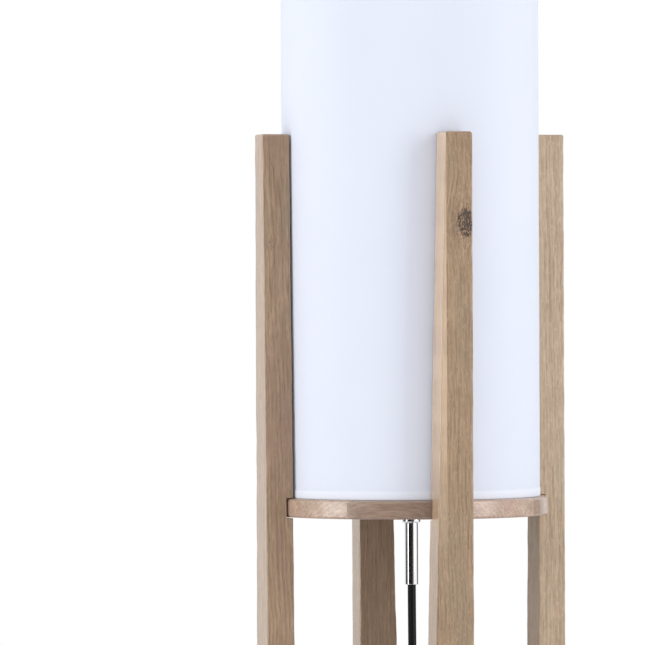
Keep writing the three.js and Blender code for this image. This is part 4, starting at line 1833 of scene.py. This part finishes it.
@dataclass
class FootSwitch:
    """The black foot switch on the cord, with a round button that presses down."""

    wall: float = 2 * MM
    corner: float = 13 * MM
    soft: float = 4 * MM
    foot_edge: float = 1.2 * MM
    button: float = 12.5 * MM
    lip: float = 1.5 * MM
    button_edge: float = 1.6 * MM
    groove_first: float = 0.8
    groove_pitch: float = 2.4
    groove_deep: float = 0.35 * MM
    play: float = 0.3 * MM
    boss: float = 3.5 * MM
    screw: float = 1.8 * MM
    screw_head: float = 3.05 * MM
    screw_at: tuple[float, float] = (-27 * MM, 13.5 * MM)
    cord: float = 4 * MM
    lower: Place = field(init=False)
    upper: Place = field(init=False)

    def __post_init__(self) -> None:
        """Measures the two shells on the frame."""
        self.lower, self.upper = Place.of("switch_base"), Place.of("switch_cover")

    @property
    def middle(self) -> Vector:
        """The middle of the upper shell."""
        return self.upper.middle

    @property
    def ceiling(self) -> float:
        """The underside of the upper shell's top."""
        return self.upper.high.z - self.wall

    def build(self) -> None:
        """Makes both shells and the button, and dresses what is inside."""
        hand_over(self._lower(), "stand", "black_plastic", "switch_base")
        hand_over(self._upper(), "stand", "black_plastic", "switch_cover")
        hand_over(self._button(), "switch_button", "black_plastic", "switch_button")
        dress("switch_contacts", Finishes.CERAMIC)
        dress("switch_screw_1", Finishes.ZINC)
        dress("switch_screw_2", Finishes.ZINC)

    def _plate(self, name: str, inset: float, profile: Profile) -> bpy.types.Object:
        """A plate with the switch's outline, in its place.

        Args:
            name: the piece's name.
            inset: how far it is inside the outline.
            profile: each ring's inset and height.

        Returns:
            The plate.
        """
        size = self.upper.size
        outline = rounded_box(size.x - 2 * inset, size.y - 2 * inset, self.corner - inset)
        points, faces = plate_of(outline, profile)
        return shift(mesh_piece(name, points, faces, Finishes.BLACK),
                     Matrix.Translation((self.middle.x, self.middle.y, 0)))

    def _rod(self, radius: float, low: float, high: float, at: Point = (0, 0)) -> bpy.types.Object:
        """An upright round cutter.

        Args:
            radius: its radius.
            low: its lower end.
            high: its upper end.
            at: its place from the switch's middle.

        Returns:
            The cutter.
        """
        rod = lathe("cutter", [(0.0, low), (radius, low), (radius, high), (0.0, high)], Finishes.BLACK, 48)
        return shift(rod, Matrix.Translation((self.middle.x + at[0], self.middle.y + at[1], 0)))

    def _rods(self, radius: float, low: float, high: float) -> list[bpy.types.Object]:
        """A cutter at each screw."""
        x, y = self.screw_at
        return [self._rod(radius, low, high, at) for at in ((x, y), (-x, -y))]

    def _cord_way(self) -> bpy.types.Object:
        """The cutter of the cord's way in and out.

        Returns:
            The cutter.
        """
        half = self.upper.size.x / 2 + MM
        radius = self.cord + self.play
        profile = [(0.0, -half), (radius, -half), (radius, half), (0.0, half)]
        height = (self.lower.high.z + self.upper.low.z) / 2
        place = Matrix.Translation((self.middle.x, self.middle.y, height))
        laid = place @ Matrix.Rotation(math.pi / 2, 4, "Y")
        return shift(lathe("cutter", profile, Finishes.BLACK, 48), laid)

    def _lower(self) -> bpy.types.Object:
        """The lower shell, with its screw bosses and seats.

        Returns:
            The shell.
        """
        top, edge = self.lower.high.z, self.foot_edge
        turns = [i / 4 * math.pi / 2 for i in range(5)]
        profile = [(edge * (1 - math.sin(a)), edge * (1 - math.cos(a))) for a in turns] + [(0.0, top)]
        shell = self._plate("switch_lower_shell", 0.0, profile)
        hollow = self._plate("cutter", self.wall, [(0.0, self.wall), (0.0, top + MM)])
        carve(shell, [hollow])
        carve(shell, self._rods(self.boss, self.wall / 2, top), "UNION")
        holes = self._rods(self.screw, -MM, top + MM) + self._rods(self.screw_head, -MM, self.wall)
        return carve(shell, [self._cord_way(), *holes])

    def _upper(self) -> bpy.types.Object:
        """The upper shell, soft round its top, with a hole for the button.

        Returns:
            The shell.
        """
        low, high, soft = self.upper.low.z, self.upper.high.z, self.soft
        turns = [i / 7 * math.pi / 2 for i in range(8)]
        profile = [(0.0, low)] + [(soft * (1 - math.cos(a)), high - soft * (1 - math.sin(a))) for a in turns]
        shell = self._plate("switch_upper_shell", 0.0, profile)
        hollow = self._plate("cutter", self.wall, [(0.0, low - MM), (0.0, self.ceiling - self.wall),
                                                   (self.wall, self.ceiling)])
        carve(shell, [hollow])
        carve(shell, self._rods(self.boss, low, self.ceiling + self.wall / 2), "UNION")
        cuts = [self._cord_way(), self._rod(self.button + self.play, low - MM, high + MM)]
        return carve(shell, cuts + self._rods(self.screw, low - MM, self.ceiling - self.wall))

    def _button(self) -> bpy.types.Object:
        """A round button with shallow rings to grip the foot.

        Returns:
            The button.
        """
        place = Place.of("switch_button")
        lip_top = self.ceiling - self.play
        crown, edge, groove = place.high.z, self.button_edge, place.high.z - self.groove_deep
        turns = [i / 6 * math.pi / 2 for i in range(7)]
        side = [(self.button - edge * (1 - math.cos(a)), crown - edge * (1 - math.sin(a))) for a in turns]
        rings: Profile = []
        for i in range(4):
            outer = self.button - edge - (self.groove_first + self.groove_pitch * i) * MM
            rings += [(outer, crown), (outer - 0.3 * MM, groove), (outer - 0.8 * MM, groove),
                      (outer - 1.1 * MM, crown)]
        lip = self.button + self.lip
        profile = [(0.0, place.low.z), (lip, place.low.z), (lip, lip_top), (self.button, lip_top),
                   *side, *rings, (0.0, crown)]
        button = lathe("switch_push_button", profile, Finishes.BLACK, 96)
        return shift(button, Matrix.Translation((self.middle.x, self.middle.y, 0)))


@dataclass
class Plug:
    """The moulded plug: an oval grip, two round pins and a ribbed sleeve on the cord."""

    neck: float = 7.5 * MM
    straight: float = 12 * MM
    edge: float = 2 * MM
    pin_root: float = 10 * MM
    sleeve_root: float = 7 * MM
    sleeve_tip: float = 5.3 * MM
    play: float = 0.3 * MM
    cord_hole: float = 4.3 * MM
    ribs: int = 9
    rib: float = 0.75 * MM
    ridge: float = 0.5 * MM
    ridges: int = 6
    place: Place = field(init=False)
    laid: Matrix = field(init=False)

    def __post_init__(self) -> None:
        """Measures the plug on the frame, and how a piece made along Z is laid in it."""
        self.place = Place.of("plug_body")
        self.laid = (Matrix.Translation((self.place.low.x, self.place.middle.y, self.place.middle.z))
                     @ Matrix(((0, 0, 1, 0), (1, 0, 0, 0), (0, 1, 0, 0), (0, 0, 0, 1))))

    def build(self) -> None:
        """Makes the grip, the pins, the sleeve and its ribs."""
        pins = [("plug_pin_near", "plug_pin_1"), ("plug_pin_far", "plug_pin_2")]
        grip = self._grip([node for _, node in pins])
        hand_over(grip, "stand", "black_plastic", "plug_body")
        for name, node in pins:
            hand_over(self._pin(name, node), "stand", "steel", node)
        self._sleeve()

    def _grip(self, nodes: Sequence[str]) -> bpy.types.Object:
        """An oval grip that draws in to the sleeve, bored for the pins.

        Args:
            nodes: the pins' CAD nodes.

        Returns:
            The grip.
        """
        half, long = self.place.size.y / 2, self.place.size.x
        steps = 24
        taper = []
        for i in range(steps + 1):
            along = i / steps
            swell = (1 + math.cos(math.pi * along)) / 2
            wave = (1 - math.cos(2 * self.ridges * math.pi * along)) / 2
            ridge = self.ridge * wave * math.sin(math.pi * along)
            taper.append((self.neck + (half - self.neck) * swell - ridge,
                          self.straight + (long - self.straight) * along))
        profile = [(0.0, 0.0), (half - self.edge, 0.0), (half - 0.6 * self.edge, 0.1 * self.edge),
                   (half, self.edge), *taper, (0.0, long)]
        grip = lathe("plug_grip", profile, Finishes.BLACK, 72)
        flat = Matrix.Diagonal((1, self.place.size.z / self.place.size.y, 1, 1))
        shift(grip, self.laid @ flat)
        return carve(grip, [self._bore(node) for node in nodes])

    def _bore(self, node: str) -> bpy.types.Object:
        """The cutter of one pin's seat.

        Args:
            node: the pin's CAD node.

        Returns:
            The cutter.
        """
        pin = Place.of(node)
        radius = pin.size.z / 2 + self.play
        cutter = lathe("cutter", [(0.0, -MM), (radius, -MM), (radius, self.pin_root), (0.0, self.pin_root)],
                       Finishes.BLACK, 32)
        across = Matrix.Translation((pin.middle.y - self.place.middle.y, 0, 0))
        return shift(cutter, self.laid @ across)

    def _pin(self, name: str, node: str) -> bpy.types.Object:
        """A round pin with a domed tip, from its tip to its root.

        Args:
            name: the piece's name.
            node: the pin's CAD node.

        Returns:
            The pin.
        """
        pin = Place.of(node)
        radius, tip = pin.size.z / 2, pin.low.x - self.place.low.x
        root = pin.high.x - self.place.low.x
        turns = [i / 5 * math.pi / 2 for i in range(6)]
        dome = [(radius * math.sin(a), tip + 0.6 * radius * (1 - math.cos(a))) for a in turns]
        made = lathe(name, [*dome, (radius, root), (0.0, root)], Finishes.ZINC, 32)
        across = Matrix.Translation((pin.middle.y - self.place.middle.y, 0, 0))
        return shift(made, self.laid @ across)

    def _sleeve(self) -> None:
        """A tapered sleeve with rings that let it bend."""
        node = Place.of("plug_sleeve")
        long, start = node.size.x, node.low.x - self.place.low.x
        bore, thick = self.cord_hole, self.rib
        profile = [(bore, start), (self.sleeve_root - thick, start),
                   (self.sleeve_tip - 0.4 * MM, start + long), (bore, start + long)]
        taper = shift(lathe("plug_sleeve_taper", profile, Finishes.BLACK, 48, 0.3 * MM), self.laid)
        hand_over(taper, "stand", "black_plastic", "plug_sleeve")
        sizes = {"Count": self.ribs, "Long": long - 2 * thick, "Root": self.sleeve_root - thick,
                 "Tip": self.sleeve_tip - thick, "Thick": thick}
        tree = GeometryTree("plug_sleeve_ribs", sizes)
        step = tree.size("Long") / (tree.size("Count") - 1)
        line = {"Count": tree.size("Count"), "Start Location": (0.0, 0.0, start + thick),
                "Offset": tree.vector(0.0, 0.0, step)}
        points = tree.node("GeometryNodeMeshLine", sockets=line)
        circle, by_radius = "GeometryNodeCurvePrimitiveCircle", {"mode": "RADIUS"}
        ring = tree.node(circle, by_radius, {"Resolution": 48, "Radius": tree.size("Root")})
        wire = tree.node(circle, by_radius, {"Resolution": 8, "Radius": tree.size("Thick")})
        rib = tree.node("GeometryNodeCurveToMesh", sockets={"Curve": ring, "Profile Curve": wire})
        share = tree.node("GeometryNodeInputIndex") / (tree.size("Count") - 1)
        scale = 1 - share * (1 - tree.size("Tip") / tree.size("Root"))
        sized = {"Points": points, "Instance": rib, "Scale": tree.vector(scale, scale, scale)}
        rows = tree.node("GeometryNodeInstanceOnPoints", sockets=sized)
        ribs = shift(smooth(tree.made("plug_sleeve_ribs", rows, Finishes.BLACK)), self.laid)
        hand_over(ribs, "stand", "black_plastic")


# ---------- the studio ----------
@dataclass
class Camera:
    """The camera, level with the legs' upper halves and a long way off."""

    turn: float = math.radians(-16.9)
    far: float = 6.4
    height: float = 0.635
    aim: float = 0.588
    aside: float = -85.6 * MM
    roll: float = math.radians(-0.24)
    lens: float = 368.0
    sensor: float = 36.0

    def build(self) -> None:
        """Makes the camera and looks through it."""
        data = bpy.data.cameras.new("camera")
        data.lens, data.sensor_width = self.lens, self.sensor
        data.clip_start, data.clip_end = 0.1, 60.0
        camera = bpy.data.objects.new("camera", data)
        bpy.context.scene.collection.objects.link(camera)
        back = Vector((math.sin(self.turn), -math.cos(self.turn), 0))
        right = Vector((math.cos(self.turn), math.sin(self.turn), 0))
        aside = right * self.aside
        camera.location = back * self.far + aside + Vector((0, 0, self.height))
        ahead = Vector((0, 0, self.aim)) + aside - camera.location
        level = ahead.to_track_quat("-Z", "Y")
        camera.rotation_mode = "QUATERNION"
        camera.rotation_quaternion = level @ Matrix.Rotation(self.roll, 4, "Z").to_quaternion()
        bpy.context.scene.camera = camera


@dataclass(frozen=True)
class Softbox:
    """A large soft lamp that looks at the object."""

    name: str
    at: tuple[float, float, float]
    aim: tuple[float, float, float]
    wide: float
    tall: float
    power: float

    def build(self) -> None:
        """Makes the lamp."""
        data = bpy.data.lights.new(self.name, "AREA")
        data.shape = "RECTANGLE"
        data.size, data.size_y, data.energy = self.wide, self.tall, self.power
        lamp = bpy.data.objects.new(self.name, data)
        bpy.context.scene.collection.objects.link(lamp)
        lamp.location = self.at
        ahead = Vector(self.aim) - Vector(self.at)
        lamp.rotation_mode = "QUATERNION"
        lamp.rotation_quaternion = ahead.to_track_quat("-Z", "Y")


@dataclass(frozen=True)
class Backdrop(Finish):
    """A pale floor that fades into a white surround for the camera."""

    fade: tuple[float, float] = (0.9, 2.6)

    def shader(self, shading: Shading) -> Value:
        """Matt white near the object, and plain white light further out.

        Args:
            shading: the material's node tree.

        Returns:
            The surface shader.
        """
        x, y, _ = shading.axes(shading.place())
        away = (x * x + y * y) ** 0.5
        seen = shading.node("ShaderNodeLightPath")
        share = away.between(*self.fade) * seen
        matt = shading.node("ShaderNodeBsdfDiffuse", sockets={"Color": (0.86, 0.86, 0.86, 1.0)})
        white = shading.node("ShaderNodeEmission", sockets={"Color": (1.0, 1.0, 1.0, 1.0), "Strength": 1.0})
        return shading.node("ShaderNodeMixShader", sockets={0: share, 1: matt, 2: white})


@dataclass(frozen=True)
class Flag(Finish):
    """A black card that a mirror shows."""

    def shader(self, shading: Shading) -> Value:
        """Plain black."""
        return shading.node("ShaderNodeBsdfDiffuse", sockets={"Color": (0.02, 0.02, 0.021, 1.0)})


@dataclass
class Studio:
    """White surroundings, two softboxes, a pale floor and the dark side of the room."""

    ambient: float = 0.66
    floor: float = 3.2
    flags: tuple[tuple[float, float, float, float], ...] = (
        (-57, 31, -0.5, 2.2), (-126, -88, 0.1, 0.42), (112, 138, 0.1, 0.42))
    flag_far: float = 2.6
    boxes: tuple[Softbox, ...] = (
        Softbox("softbox_left", (-2.5, -0.4, 1.1), (0, 0, 0.6), 1.3, 2.2, 31),
        Softbox("softbox_right", (1.9, -2.0, 1.3), (0, 0, 0.6), 1.2, 2.2, 34))

    def build(self) -> None:
        """Makes the surroundings."""
        bpy.context.scene.view_settings.view_transform = "Standard"
        self._world()
        for box in self.boxes:
            box.build()
        floor = lathe("floor", [(0.0, -0.02), (self.floor, -0.02), (self.floor, 0.0), (0.0, 0.0)],
                      Backdrop("floor"), 96)
        for i, flag in enumerate(self.flags):
            self._flag(f"flag_{i + 1}", *flag)

    def _world(self) -> None:
        """White to the camera and to mirrors, and an even soft light to all else."""
        world = bpy.data.worlds.new("surround")
        world.use_nodes = True
        world.node_tree.nodes.clear()
        shading = Shading(world.node_tree)
        path = shading.node("ShaderNodeLightPath")
        seen = path.math("MAXIMUM", path.output("Is Glossy Ray"))
        seen = seen.math("MAXIMUM", path.output("Is Transmission Ray"))
        plain = {"Color": (1.0, 1.0, 1.0, 1.0)}
        soft = shading.node("ShaderNodeBackground", sockets={**plain, "Strength": self.ambient})
        white = shading.node("ShaderNodeBackground", sockets={**plain, "Strength": 1.0})
        surface = shading.node("ShaderNodeMixShader", sockets={0: seen, 1: soft, 2: white})
        shading.node("ShaderNodeOutputWorld", sockets={"Surface": surface})
        bpy.context.scene.world = world

    def _flag(self, name: str, start: float, end: float, low: float, high: float) -> bpy.types.Object:
        """A curved dark card, between two angles from the camera's line of sight and two heights.

        Args:
            name: the card's name.
            start: the first angle, in degrees.
            end: the last angle.
            low: its lower edge.
            high: its upper edge.

        Returns:
            The card.
        """
        steps = 24
        base = Camera.turn - math.pi / 2
        arc = [base + math.radians(start + (end - start) * i / steps) for i in range(steps + 1)]
        points = [(self.flag_far * math.cos(a), self.flag_far * math.sin(a), z)
                  for z in (low, high) for a in arc]
        faces = [(i, i + 1, i + steps + 2, i + steps + 1) for i in range(steps)]
        card = mesh_piece(name, points, faces, Flag("flag"))
        card.visible_camera = card.visible_diffuse = card.visible_shadow = False
        card.visible_transmission = card.visible_volume_scatter = False
        return card


class Lamp:
    """The whole lamp."""

    OAKS = {
        Side.LEFT: replace(Finishes.OAK, name="oak_left", seed=1.7, light=srgb(198, 166, 134),
                           dark=srgb(134, 105, 76),
                           knots=(Knot((-0.1464, -0.0135, 0.6666), 2.4 * MM, 3.4 * MM),
                                  Knot((-0.137, -0.0135, 0.409), 1.8 * MM, 2.4 * MM))),
        # The front leg's left side face gets painted light.
        Side.FRONT: replace(Finishes.OAK, name="oak_front", seed=4.1, fleck=0.75,
                            lit_side_edge=-13.2 * MM, light=srgb(184, 152, 116),
                            dark=srgb(120, 91, 60), grey=srgb(140, 120, 92), pink=srgb(164, 128, 98),
                            knots=(Knot((0.0062, -0.153, 0.6835), 8.2 * MM, 15.5 * MM),)),
        Side.RIGHT: replace(Finishes.OAK, name="oak_right", seed=7.9, fleck=0.6, light=srgb(208, 182, 152),
                            dark=srgb(146, 120, 90), grey=srgb(170, 150, 122), pink=srgb(190, 160, 136)),
        Side.BACK: replace(Finishes.OAK, name="oak_back", seed=11.3, light=srgb(182, 154, 124),
                           dark=srgb(122, 97, 70), grey=srgb(140, 120, 96), pink=srgb(162, 130, 104)),
    }
    # Its darkest stave is a painted shadow on the rim.
    TOP = replace(Finishes.OAK, name="oak_disc", seed=16.2, grain=Grain.LEVEL, stave=42 * MM,
                  light=srgb(216, 188, 166), dark=srgb(150, 120, 101), grey=srgb(160, 138, 120),
                  pink=srgb(186, 152, 136))

    def build(self) -> None:
        """Builds each sub-assembly in order."""
        FootSwitch().build()
        Plug().build()
        Cord().build()
        for side in Side:
            Leg(side, self.OAKS[side]).build()
            Foot(side).build()
            dress(f"dowel_{side.word}", Finishes.BEECH)
        Disc(self.TOP).build()
        Shade().build()
        Outlet().build()
        Lampholder().build()
        Bulb().build()


def main() -> None:
    """Builds the camera, the lamp and the studio."""
    logging.basicConfig(level=logging.INFO, format="%(name)s: %(message)s")
    Camera().build()
    Lamp().build()
    Studio().build()


if __name__ == "__main__":
    main()
